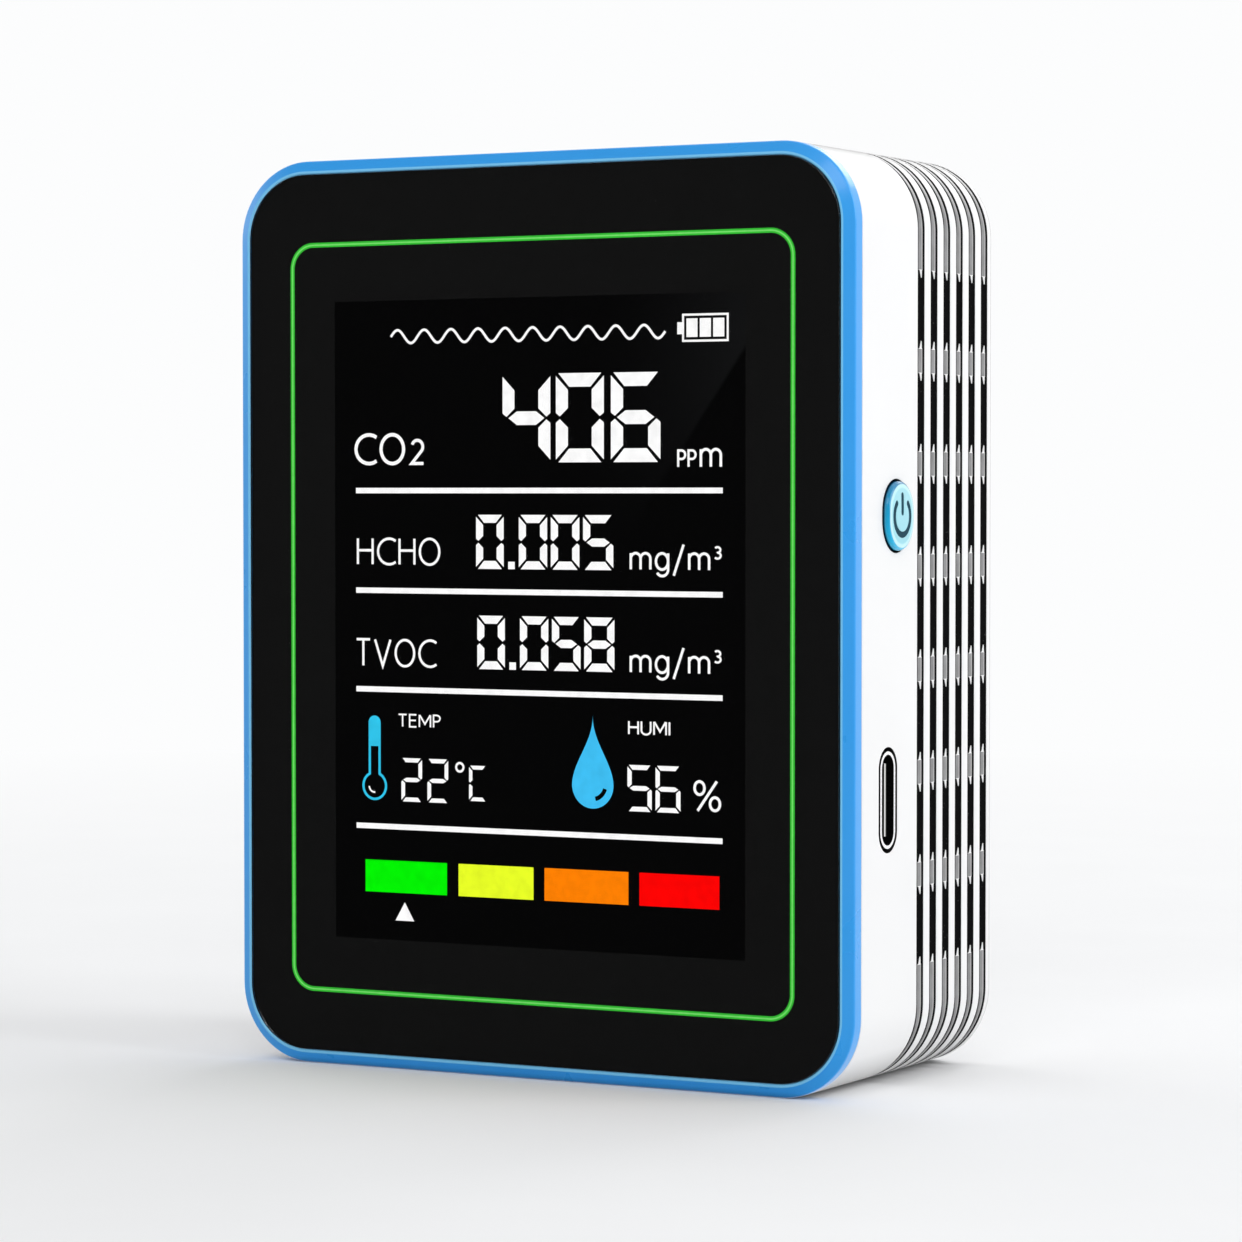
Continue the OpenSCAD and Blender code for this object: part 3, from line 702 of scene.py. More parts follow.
def case_mesh():
    """The shell as two skins, outer and inner, with reveals where a slot goes through both."""
    stations = case_stations()
    front_r = 0.15
    outer = [(JOINT + GAP + front_r - along, drop, None, "rib") for along, drop in reversed(arc_pairs(front_r, 3, 0, 90))]
    inner = [(JOINT + GAP, WALL, None, "rib")]
    for g in range(GROOVES):
        y0 = GROOVE_START + g * GROOVE_PITCH
        y1, mid = y0 + GROOVE_W, y0 + RIDGE_LINE
        outer += groove_columns(y0)
        inner += [(y0, WALL, None, "channel"), (y0 + CHANNEL_W[0], WALL, mid, "ridge"),
                  (y1 - CHANNEL_W[1], WALL, mid, "channel"), (y1, WALL, None, "rib")]
    outer += [(DEPTH - REAR_R + along, drop, None, "rib") for along, drop in arc_pairs(REAR_R, 8, 0, 90)]
    inner.append((DEPTH - WALL, WALL, None, "rib"))

    verts, faces, materials = [], [], []
    for columns in (outer, inner):
        for station, _, share in stations:
            for depth, inset, mid, _ in columns:
                if mid is not None:
                    depth = mid + (depth - mid) * share
                verts.append(station.at(inset, depth))
    count, wide, base = len(stations), len(outer), len(stations) * len(outer)

    def o(i, j):
        return (i % count) * wide + j

    def n(i, j):
        return base + (i % count) * len(inner) + j

    def add(face, material):
        faces.append(face)
        materials.append(material)

    def is_open(kind, what):
        return (kind == "wedge" and what == "channel") or (kind == "open" and what != "rib" and what != "gap")

    for i, (_, kind, _) in enumerate(stations):
        for j in range(wide - 1):
            what = outer[j][3]
            if is_open(kind, what):
                continue
            # materials: 0 white plastic; 1 the ridge painted grey for shade, left white on the teeth; 2 painted shadow
            # on channel floors and walls
            material = {"rib": 0, "ridge": 0 if kind == "wedge" else 1}.get(what, 2)
            add((o(i, j), o(i + 1, j), o(i + 1, j + 1), o(i, j + 1)), material)
        for j in range(len(inner) - 1):
            if not is_open(kind, inner[j][3]):
                add((n(i, j), n(i, j + 1), n(i + 1, j + 1), n(i + 1, j)), 0)
        add((o(i, 0), n(i, 0), n(i + 1, 0), o(i + 1, 0)), 0)

    # reveals: outer columns of each groove's four floor corners and the inner columns behind them, given the painted
    # gap shadow (material 2)
    first = 4
    per_groove = len(groove_columns(0))
    for g in range(GROOVES):
        start = first + g * per_groove
        floor = [start + 4, start + 5, start + per_groove - 6, start + per_groove - 5]
        back = [1 + 4 * g + k for k in range(4)]
        for i, (_, kind, _) in enumerate(stations):
            before = stations[i - 1][1]
            lines = {"wedge": (0, 1, 2, 3), "open": (0, 3)}.get(kind, ())
            for k in lines:
                add((o(i, floor[k]), o(i + 1, floor[k]), n(i + 1, back[k]), n(i, back[k])), 2)
            if {before, kind} == {"solid", "wedge"}:
                for a, b in ((0, 1), (2, 3)):
                    add((o(i, floor[a]), o(i, floor[b]), n(i, back[b]), n(i, back[a])), 2)
            if {before, kind} == {"wedge", "open"}:
                add(tuple(o(i, j) for j in range(floor[1], floor[2] + 1)) + (n(i, back[2]), n(i, back[1])), 2)

    add(tuple(o(i, wide - 1) for i in range(count)), 0)
    add(tuple(n(i, len(inner) - 1) for i in range(count)), 0)
    return verts, faces, materials


def stadium(width, length, centre, grow=0.0, steps=24):
    """(depth, z) points of an upright shape with round ends, grown all round."""
    depth, z = centre
    r, shift = width / 2 + grow, (length - width) / 2
    return [(depth + r * math.cos(math.radians(start + 180 * k / steps)),
             z + side * shift + r * math.sin(math.radians(start + 180 * k / steps)))
            for side, start in ((1, 0), (-1, 180)) for k in range(steps + 1)]


def flared(loop_at, x0, x1, edge):
    """A cutter along X whose mouth at x1 opens in a quarter round. loop_at(grow) gives its (depth, z) loop."""
    steps = 5
    levels = [(x0, 0.0)] + [(x1 - edge + along, drop) for along, drop in arc_pairs(edge, steps, 0, 90)]
    levels.append((x1 + 1, edge))
    loops = [[(x, d, z) for d, z in loop_at(grow)] for x, grow in levels]
    verts, faces = loft(loops, cap_first=True, cap_last=True)
    n = len(loops[0])
    # the deep wall takes the painted gap shadow (material 2), the rounded mouth stays white
    return verts, faces, [2] * n + [0] * (len(faces) - n)


def case_cutters():
    mouths = (("button_cut", BUTTON_W, BUTTON_H, (BUTTON_DEPTH, BUTTON_Z), BUTTON_GAP),
              ("usb_cut", USB_W, USB_L, (USB_DEPTH, USB_Z), USB_GAP))
    cutters = []
    for name, width, length, centre, clearance in mouths:
        def loop_at(grow):
            return stadium(width, length, centre, clearance + grow)
        verts, faces, materials = flared(loop_at, HALF_W - 1.5 * WALL, HALF_W, MOUTH_EDGE)
        cutters.append(link_mesh(name, verts, faces, materials))
    for k, (x, z) in enumerate(SCREW_XZ):
        profile = [(2.8, DEPTH + 1), (2.55, DEPTH), (2.25, DEPTH - 0.3), (2.25, DEPTH - 1.9), (1.2, DEPTH - 1.9), (1.2, 20)]
        loops = [[(x + r * math.cos(2 * math.pi * i / 48), d, z + r * math.sin(2 * math.pi * i / 48)) for i in range(48)]
                 for r, d in profile]
        cutters.append(link_mesh(f"screw_cut_{k}", *loft(loops, cap_first=True, cap_last=True)))
    return cutters


def build_rear_case():
    case = link_mesh("rear_shell", *case_mesh())
    set_materials(case, WHITE, RIDGE, GAP_SHADOW)
    cutters = case_cutters()
    for cutter in cutters:
        set_materials(cutter, WHITE, RIDGE, GAP_SHADOW)
    combine(case, cutters, "DIFFERENCE")
    clean(case, 0.0005)
    return finish_piece(case, replaces=["rear_case"], angle=30)


# ---- Front frame and lens ----

def opening_loop(grow, depth):
    x = DISPLAY_HI.x + 0.4 + grow
    loop = rounded_loop(-x, DISPLAY_LO.z - 0.4 - grow, x, DISPLAY_HI.z + 0.4 + grow, 0.6)
    return [(px, depth, pz) for px, pz in loop]


def build_front_frame():
    slope, lip, steps = 0.7, 0.2, 7
    plate_front, plate_rear = LENS_T + 0.19, LENS_T + 1.39
    skirt = (WALL + GAP, WALL + GAP + 1.2)
    skirt_end = 5.5
    rim = filleted([(RIM, plate_front, 0), (RIM, 0.0, lip), (0.0, slope, 0.3), (0.0, JOINT, 0.12),
                    (skirt[0], JOINT, 0), (skirt[0], skirt_end, 0.3), (skirt[1], skirt_end, 0.3),
                    (skirt[1], plate_rear, 0)], steps, closed=False)
    loops = [outline_loop(inset, depth) for inset, depth in rim]
    loops += [opening_loop(0, plate_rear), opening_loop(0, plate_front)]
    verts, faces = loft(loops, closed=True)
    per_row = len(loops[0])
    # the inner lip's rows take the painted highlight
    piece = link_mesh("front_rim", verts, faces, [int(1 <= k // per_row <= steps) for k in range(len(faces))])
    set_materials(piece, BLUE, BLUE_LIP_HIGHLIGHT)
    return finish_piece(piece, replaces=["front_frame"], angle=40)


GLASS_BACK = 0.9 * LENS_T
LINE_DEPTH = (GLASS_BACK + 0.004, GLASS_BACK + 0.012)
PRINT_DEPTH = (GLASS_BACK + 0.015, GLASS_BACK + 0.03)
FIGURE_DEPTH = (GLASS_BACK + 0.035, GLASS_BACK + 0.05)
WINDOW = (-22.1, 12.4, 22.1, 73.4)
FIGURE_SHIFT = 0.1


def flat_ring(outer, inner, depth0, depth1):
    """A plate between two loops of equal length."""
    return loft([[(x, depth0, z) for x, z in outer], [(x, depth1, z) for x, z in outer],
                 [(x, depth1, z) for x, z in inner], [(x, depth0, z) for x, z in inner]], closed=True)


def build_lens():
    edge = RIM + GAP
    path = [(edge, GLASS_BACK)] + [(edge + drop, 0.12 - along) for along, drop in arc_pairs(0.12, 4, 0, 90)]
    glass = link_mesh("lens_glass", *loft([outline_loop(i, d) for i, d in path], cap_first=True, cap_last=True))
    set_materials(glass, lens_clear("clear_lens"))
    finish_piece(glass, replaces=["front_lens"])

    outer = [(x, z) for x, _, z in outline_loop(edge + 0.02, 0)]
    inner = rounded_loop(*WINDOW, 0.05)
    ink = link_mesh("lens_print", *flat_ring(outer, inner, *PRINT_DEPTH))
    # the black ink has a faint painted glow
    set_materials(ink, printed_ink("black_ink", (0.0045, 0.0045, 0.0045), painted_glow=0.3))
    finish_piece(ink)

    x, z0, z1, r, half, core = 26.9, 7.23, 78.89, 2.3, 0.23, 0.07
    line_parts = []
    for low, high, depth in ((-half, half, 0), (-core, core, -0.004)):
        big = rounded_loop(-x - high, z0 - high, x + high, z1 + high, r + high)
        small = rounded_loop(-x - low, z0 - low, x + low, z1 + low, r + low)
        line_parts.append(flat_ring(big, small, LINE_DEPTH[0] + depth, LINE_DEPTH[1] + depth))
    # the green line's print is given a painted glow
    for name, part, colour, painted_glow in (("lens_line", line_parts[0], (0.025, 0.36, 0.025), 0.62),
                                     ("lens_line_core", line_parts[1], (0.12, 0.46, 0.1), 0.7)):
        line = link_mesh(name, *part)
        set_materials(line, printed_ink(name + "_ink", colour, painted_glow))
        finish_piece(line, weighted=False)


# ---- Display figures ----

def ribbon(points, width, closed=False):
    """The outline quads of a line of even width through (x, z) points."""
    count = len(points)
    sides = []
    for i in range(count):
        here = Vector(points[i])
        ahead = Vector(points[(i + 1) % count]) - here if closed or i < count - 1 else None
        behind = here - Vector(points[i - 1]) if closed or i > 0 else None
        directions = [d.normalized() for d in (behind, ahead) if d is not None]
        along = sum(directions, Vector((0, 0))).normalized()
        across = Vector((-along.y, along.x))
        reach = width / 2 / max(0.3, across.dot(Vector((-directions[0].y, directions[0].x))))
        sides.append((here + across * reach, here - across * reach))
    quads = []
    for i in range(count if closed else count - 1):
        a, b = sides[i], sides[(i + 1) % count]
        quads.append([tuple(a[0]), tuple(b[0]), tuple(b[1]), tuple(a[1])])
    return sides, quads


def ribbon_plate(points, width, closed=False):
    """A line of even width as one closed solid."""
    sides, _ = ribbon(points, width, closed)
    d0, d1 = FIGURE_DEPTH
    loops = [[(p.x, d, p.y) for p, d in ((a, d0), (b, d0), (b, d1), (a, d1))] for a, b in sides]
    return loft(loops, closed=closed, cap_first=not closed, cap_last=not closed)


def polygon_plate(points):
    return prism_y(points, *FIGURE_DEPTH)


def circle_points(cx, cz, r, steps=32, start=0.0, sweep=360.0):
    count = steps if sweep >= 360 else steps + 1
    return [(cx + r * math.cos(math.radians(start + sweep * k / steps)),
             cz + r * math.sin(math.radians(start + sweep * k / steps))) for k in range(count)]


SEGMENTS = {"0": "abcdef", "2": "abged", "4": "fgbc", "5": "afgcd", "6": "afgedc", "8": "abcdefg", "C": "aefd"}


def digit_parts(char, x0, z0, x1, z1, t):
    """A seven-segment figure with mitred ends and a fine gap between segments."""
    g = 0.1 + 0.13 * t
    zm = (z0 + z1) / 2
    top = [(x0 + g, z1), (x1 - g, z1), (x1 - t - g / 2, z1 - t), (x0 + t + g / 2, z1 - t)]
    upper = [(x0, z1 - g), (x0 + t, z1 - t - g), (x0 + t, zm + 0.6 * t + g / 2),
             (x0 + 0.33 * t, zm + g / 2), (x0, zm + 0.25 * t + g / 2)]
    middle = [(x0 + 0.5 * t, zm), (x0 + t + g, zm + t / 2), (x1 - t - g, zm + t / 2), (x1 - 0.5 * t, zm),
              (x1 - t - g, zm - t / 2), (x0 + t + g, zm - t / 2)]

    def flip_x(points):
        return [(x0 + x1 - x, z) for x, z in points]

    def flip_z(points):
        return [(x, 2 * zm - z) for x, z in points]

    shapes = {"a": top, "d": flip_z(top), "f": upper, "e": flip_z(upper), "b": flip_x(upper),
              "c": flip_x(flip_z(upper)), "g": middle}
    return [polygon_plate(shapes[s]) for s in SEGMENTS[char]]


def rect_points(x0, z0, x1, z1):
    return [(x0, z0), (x1, z0), (x1, z1), (x0, z1)]


def figure_piece(name, parts, material):
    """A lit figure, moved left by what the depth of the glass shifts it for a viewer on the right."""
    verts, faces = merge(parts)
    piece = link_mesh(name, [(x - FIGURE_SHIFT, depth, z) for x, depth, z in verts], faces)
    set_materials(piece, material)
    return finish_piece(piece, weighted=False)


def number_piece(name, text, boxes, z0, z1, t, material):
    parts = []
    for char, (x0, x1) in zip(text, boxes):
        if char == ".":
            parts.append(polygon_plate(rect_points(x0, z0, x1, z0 + x1 - x0)))
        else:
            parts += digit_parts(char, x0, z0, x1, z1, t)
    return figure_piece(name, parts, material)


def bow(cx, cz, rx, rz, start, end, steps=16):
    """Points of an elliptical stroke between two angles in degrees."""
    return [(cx + rx * math.cos(math.radians(start + (end - start) * k / steps)),
             cz + rz * math.sin(math.radians(start + (end - start) * k / steps))) for k in range(steps + 1)]


# Single-line letters on a height of 1: their width and their strokes. A stroke whose ends meet is a ring.
ARCHES = [[(0.0, 0.0), (0.0, 0.68)]] + [[(x + 0.42, 0.0)] + bow(x + 0.21, 0.45, 0.21, 0.23, 0, 165, 12)
                                        for x in (0.0, 0.42)]
LETTERS = {
    "C": (0.72, [bow(0.5, 0.5, 0.5, 0.5, 55, 305)]),
    "O": (0.86, [bow(0.43, 0.5, 0.43, 0.5, 0, 360, 32)]),
    "H": (0.66, [[(0, 0), (0, 1)], [(0.66, 0), (0.66, 1)], [(0, 0.54), (0.66, 0.54)]]),
    "T": (0.62, [[(0, 1), (0.62, 1)], [(0.31, 0), (0.31, 1)]]),
    "V": (0.72, [[(0, 1), (0.36, 0), (0.72, 1)]]),
    "E": (0.52, [[(0.52, 1), (0, 1), (0, 0), (0.52, 0)], [(0, 0.53), (0.48, 0.53)]]),
    "M": (0.86, [[(0, 0), (0, 1)], [(0.02, 1), (0.43, 0.25), (0.84, 1)], [(0.86, 1), (0.86, 0)]]),
    "P": (0.5, [[(0, 0), (0, 1), (0.24, 1)] + bow(0.24, 0.74, 0.26, 0.26, 75, -75, 10) + [(0.24, 0.48), (0, 0.48)]]),
    "U": (0.66, [[(0, 1)] + bow(0.33, 0.33, 0.33, 0.33, 180, 360) + [(0.66, 1)]]),
    "I": (0.0, [[(0, 0), (0, 1)]]),
    "2": (0.56, [bow(0.27, 0.72, 0.26, 0.28, 160, -35) + [(0, 0), (0.56, 0)]]),
    "3": (0.5, [bow(0.22, 0.76, 0.25, 0.24, 140, -80) + bow(0.22, 0.26, 0.28, 0.26, 80, -140)]),
    "m": (0.84, ARCHES),
    "g": (0.52, [bow(0.26, 0.34, 0.26, 0.34, 0, 360, 24),
                 [(0.52, 0.68), (0.52, 0.0)] + bow(0.27, 0.0, 0.25, 0.27, -10, -150)]),
    "/": (0.42, [[(0, -0.25), (0.42, 1.05)]]),
    "%": (0.86, [[(0.12, 0), (0.74, 1)], bow(0.18, 0.76, 0.16, 0.22, 0, 360, 20), bow(0.68, 0.24, 0.16, 0.22, 0, 360, 20)]),
}


def letter_strokes(text, gap=0.24):
    """The strokes of a word from x = 0, with the word's width."""
    strokes, x = [], 0.0
    for char in text:
        width, lines = LETTERS[char]
        strokes += [[(x + u, v) for u, v in line] for line in lines]
        x += width + gap
    return strokes, x - gap


def label_piece(name, items, material):
    """Quantity and unit marks, each (word, x0, x1, foot, height, line width)."""
    parts = []
    for word, x0, x1, foot, height, line in items:
        strokes, width = letter_strokes(word)
        for stroke in strokes:
            points = [(x0 + (x1 - x0) * u / width, foot + height * v) for u, v in stroke]
            closed = math.dist(points[0], points[-1]) < 1e-6
            parts.append(ribbon_plate(points[:-1] if closed else points, line, closed))
    return figure_piece(name, parts, material)


def drop_points(cx, z_low, z_high, half_w, steps=48):
    """A falling drop: a round foot drawn out to a point at the top."""
    r = half_w
    cz = z_low + r
    points = []
    for k in range(steps + 1):
        a = math.radians(-90 + 180 * k / steps)
        t = k / steps
        width = math.cos(a) * r
        z = cz + math.sin(a) * r
        if z > cz:
            lift = min(1.0, (z - cz) / r)
            z = cz + (z_high - cz) * lift
            width = r * (1 + math.cos(math.pi * lift ** 0.93)) / 2
        points.append((cx + width, z))
    return points + [(2 * cx - x, z) for x, z in reversed(points[1:-1])]


def build_display():
    white = lit_figure("lit_white", (1.0, 1.0, 1.0), 1.08)
    cyan = lit_figure("lit_cyan", (0.03, 0.55, 0.82), 1.1)
    sky = lit_figure("lit_sky", (0.05, 0.52, 0.9), 1.1)
    black = lit_figure("unlit", (0.0, 0.0, 0.0), 0.0)

    number_piece("reading_co2", "406", [(-3.4, 1.75), (2.35, 7.45), (8.2, 13.4)], 57.95, 66.25, 1.28, white)
    small = [(-6.3, -3.3), (-2.8, -2.1), (-1.65, 1.4), (1.8, 4.85), (5.25, 8.45)]
    number_piece("reading_hcho", "0.005", small, 47.95, 53.05, 0.76, white)
    small = [(x0 + 0.12, x1 + 0.12) for x0, x1 in small]
    number_piece("reading_tvoc", "0.058", small, 38.5, 43.55, 0.76, white)
    number_piece("reading_temperature", "22", [(-14.6, -12.3), (-11.7, -9.4)], 25.7, 29.85, 0.4, white)
    number_piece("reading_degree_letter", "C", [(-7.1, -5.2)], 26.0, 29.35, 0.36, white)
    number_piece("reading_humidity", "56", [(9.95, 12.5), (12.9, 15.5)], 25.65, 29.95, 0.44, white)

    label_piece("quantity_labels", [
        ("CO", -19.65, -14.3, 57.9, 2.75, 0.34), ("2", -13.4, -12.1, 57.9, 2.2, 0.3),
        ("HCHO", -19.45, -10.35, 48.3, 2.45, 0.24), ("TVOC", -19.6, -10.85, 38.6, 2.5, 0.24),
        ("TEMP", -14.9, -10.3, 32.85, 1.15, 0.16), ("HUMI", 10.1, 14.35, 32.8, 1.2, 0.18)], white)
    label_piece("unit_labels", [
        ("PP", 15.25, 17.05, 57.5, 1.5, 0.22), ("m", 17.6, 19.65, 57.5, 2.35, 0.26),
        ("mg/m", 10.3, 18.45, 48.05, 2.2, 0.25), ("3", 19.05, 19.65, 49.1, 1.05, 0.2),
        ("mg/m", 10.3, 18.45, 38.55, 2.2, 0.25), ("3", 19.05, 19.65, 39.6, 1.05, 0.2),
        ("%", 16.9, 19.65, 25.95, 2.75, 0.26)], white)

    lines = [polygon_plate(rect_points(-19.65, z - 0.26, 19.85, z + 0.26)) for z in (55.33, 45.8, 36.35, 23.24)]
    figure_piece("separator_lines", lines, white)
    degree = ribbon_plate(circle_points(-8.12, 29.15, 0.4), 0.22, closed=True)
    figure_piece("degree_ring", [degree], white)

    trace = [(-15.7 + 29.6 * k / 240, 69.95 + 0.62 * math.sin(math.radians(k * 15))) for k in range(241)]
    figure_piece("air_trace", [ribbon_plate(trace, 0.24)], white)

    battery = [ribbon_plate(rect_points(15.75, 69.03, 20.35, 71.42), 0.2, closed=True),
               polygon_plate(rect_points(15.15, 69.65, 15.64, 70.75))]
    battery += [polygon_plate(rect_points(16.1 + 1.38 * k, 69.37, 17.24 + 1.38 * k, 71.08)) for k in range(3)]
    figure_piece("battery_icon", battery, white)

    bulb, tube, stem_x = 1.27, 0.55, -17.6
    neck = math.degrees(math.asin(tube / bulb))
    shape = circle_points(stem_x, 27.1, bulb, 40, 90 + neck, 360 - 2 * neck)
    shape += circle_points(stem_x, 33.15, tube, 16, 0, 180)
    figure_piece("thermometer_icon", [
        ribbon_plate(shape, 0.24, closed=True),
        polygon_plate(rect_points(stem_x - 0.45, 30.9, stem_x + 0.45, 33.15)),
        polygon_plate(circle_points(stem_x, 33.15, 0.45, 16, 0, 180))], cyan)
    figure_piece("thermometer_glint", [ribbon_plate(circle_points(stem_x, 27.1, 0.62, 10, 185, 90), 0.16)], white)
    figure_piece("drop_icon", [polygon_plate(drop_points(6.27, 25.75, 34.35, 2.2))], sky)
    glint = ribbon_plate(circle_points(6.27, 28.0, 1.36, 12, -78, 62), 0.42)
    shift = [(x, depth - 0.006, z) for x, depth, z in glint[0]]
    figure_piece("drop_glint", [(shift, glint[1])], black)

    bars = [("green", -18.65, -9.55, (0.0, 0.92, 0.0)), ("yellow", -8.27, -0.09, (0.82, 1.0, 0.02)),
            ("orange", 1.1, 10.05, (1.0, 0.22, 0.0)), ("red", 11.21, 19.53, (1.0, 0.0, 0.0))]
    for name, x0, x1, colour in bars:
        figure_piece("level_bar_" + name, [polygon_plate(rect_points(x0, 16.93, x1, 20.0))],
                     lit_figure("lit_" + name, colour, 1.08))
    figure_piece("level_pointer", [polygon_plate([(-15.28, 14.28), (-13.2, 14.28), (-14.24, 16.05)])], white)


# ---- Power button ----

def round_ended(points, width, steps=8):
    """The outline of a line of even width through points, with round ends."""
    half = width / 2
    left, right = [], []
    for i, (u, v) in enumerate(points):
        before, after = Vector(points[max(i - 1, 0)]), Vector(points[min(i + 1, len(points) - 1)])
        along = (after - before).normalized()
        left.append((u - along.y * half, v + along.x * half))
        right.append((u + along.y * half, v - along.x * half))

    def cap(centre, first):
        start = math.atan2(first[1] - centre[1], first[0] - centre[0])
        return [(centre[0] + half * math.cos(start - math.pi * k / steps),
                 centre[1] + half * math.sin(start - math.pi * k / steps)) for k in range(1, steps)]

    return left + cap(points[-1], left[-1]) + right[::-1] + cap(points[0], right[0])


def power_symbol():
    """(depth, z) outlines about the button's centre: a bar over a ring that is open at the top."""
    radius, drop, line = 1.68, -0.05, 0.58
    opening = (45, -225)
    ring = [(radius * math.cos(math.radians(a)), drop + radius * math.sin(math.radians(a)))
            for a in (opening[0] + (opening[1] - opening[0]) * k / 48 for k in range(49))]
    return [round_ended([(0.0, 0.32), (0.0, 1.88)], line), round_ended(ring, line)]


def symbol_loop(points, x):
    return [(x, BUTTON_DEPTH + u, BUTTON_Z + v) for u, v in points]


def build_button():
    face, back = BUTTON_HI.x, HALF_W - WALL - 0.8
    centre, edge, dome = (BUTTON_DEPTH, BUTTON_Z), 0.4, 0.05
    levels = [(-0.15, back), (0.0, back + 0.15)]
    levels += [(-drop, face - edge - dome + along) for along, drop in arc_pairs(edge, 10, 0, 78)]
    rim, reach = levels[-1], BUTTON_W / 2 + levels[-1][0] - 0.2
    levels += [(rim[0] - reach * k / 8, rim[1] + (face - rim[1]) * (1 - (1 - k / 8) ** 2)) for k in range(1, 9)]
    loops = [[(x, d, z) for d, z in stadium(BUTTON_W, BUTTON_H, centre, grow)] for grow, x in levels]
    cap = link_mesh("button_cap", *loft(loops, cap_first=True, cap_last=True))
    tab_half = (TAB_W / 2, (BUTTON_HI.z - BUTTON_LO.z) / 2)
    tab_loop = rounded_loop(BUTTON_DEPTH - tab_half[0], BUTTON_Z - tab_half[1], BUTTON_DEPTH + tab_half[0],
                            BUTTON_Z + tab_half[1], 0.5, 6)
    tab = link_mesh("button_tab", *prism_x(tab_loop, HALF_W - 3.35, HALF_W - WALL - 0.15))
    stem = link_mesh("button_stem", *lathe_x([(0.001, BUTTON_LO.x), (1.4, BUTTON_LO.x), (1.5, BUTTON_LO.x + 0.1),
                                              (1.5, HALF_W - 3.0), (0.001, HALF_W - 3.0)], BUTTON_DEPTH, BUTTON_Z, 48))
    combine(cap, [tab, stem], "UNION")
    cuts = [link_mesh(f"symbol_cut_{k}", *loft([symbol_loop(points, x) for x in (face - 0.16, face + 1)],
                                               cap_first=True, cap_last=True)) for k, points in enumerate(power_symbol())]
    combine(cap, cuts, "DIFFERENCE")
    set_materials(cap, button_plastic("button_plastic"))
    finish_piece(cap, body="button", replaces=["power_button"], angle=35)

    inlays = [loft([symbol_loop(points, x) for x in (face - 0.155, face - 0.055)], cap_first=True, cap_last=True)
              for points in power_symbol()]
    ink = link_mesh("button_symbol", *merge(inlays))
    s = Shader("symbol_ink")
    s.principled(Base_Color=s.mix(s.noise(0.4, 2), (0.0, 0.035, 0.06), (0.001, 0.06, 0.1)), Roughness=0.5,
                 Specular_IOR_Level=0.1)
    set_materials(ink, s.material)
    finish_piece(ink, body="button", weighted=False)


def build_switch_dome(steel):
    """The sprung steel dome in the button's switch, which in the device flattens as the plunger comes in; here it is
    built only in its resting shape.
    """
    low, high = box_mm("switch_dome")
    steps, metal = 8, 0.12
    reach, rise = (high.y - low.y) / 2, high.x - low.x - metal
    centre = (low.y + high.y) / 2 - FRONT
    under = [(reach * k / steps, low.x + rise * (1 - (k / steps) ** 2)) for k in range(1, steps + 1)]
    over = [(r, x + metal) for r, x in reversed(under)]
    dome = link_mesh("snap_dome", *lathe_x(under + over, centre, BUTTON_Z, 48))
    set_materials(dome, steel)
    finish_piece(dome, replaces=["switch_dome"])
    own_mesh(dome)


# ---- Parts carried over from the frame ----

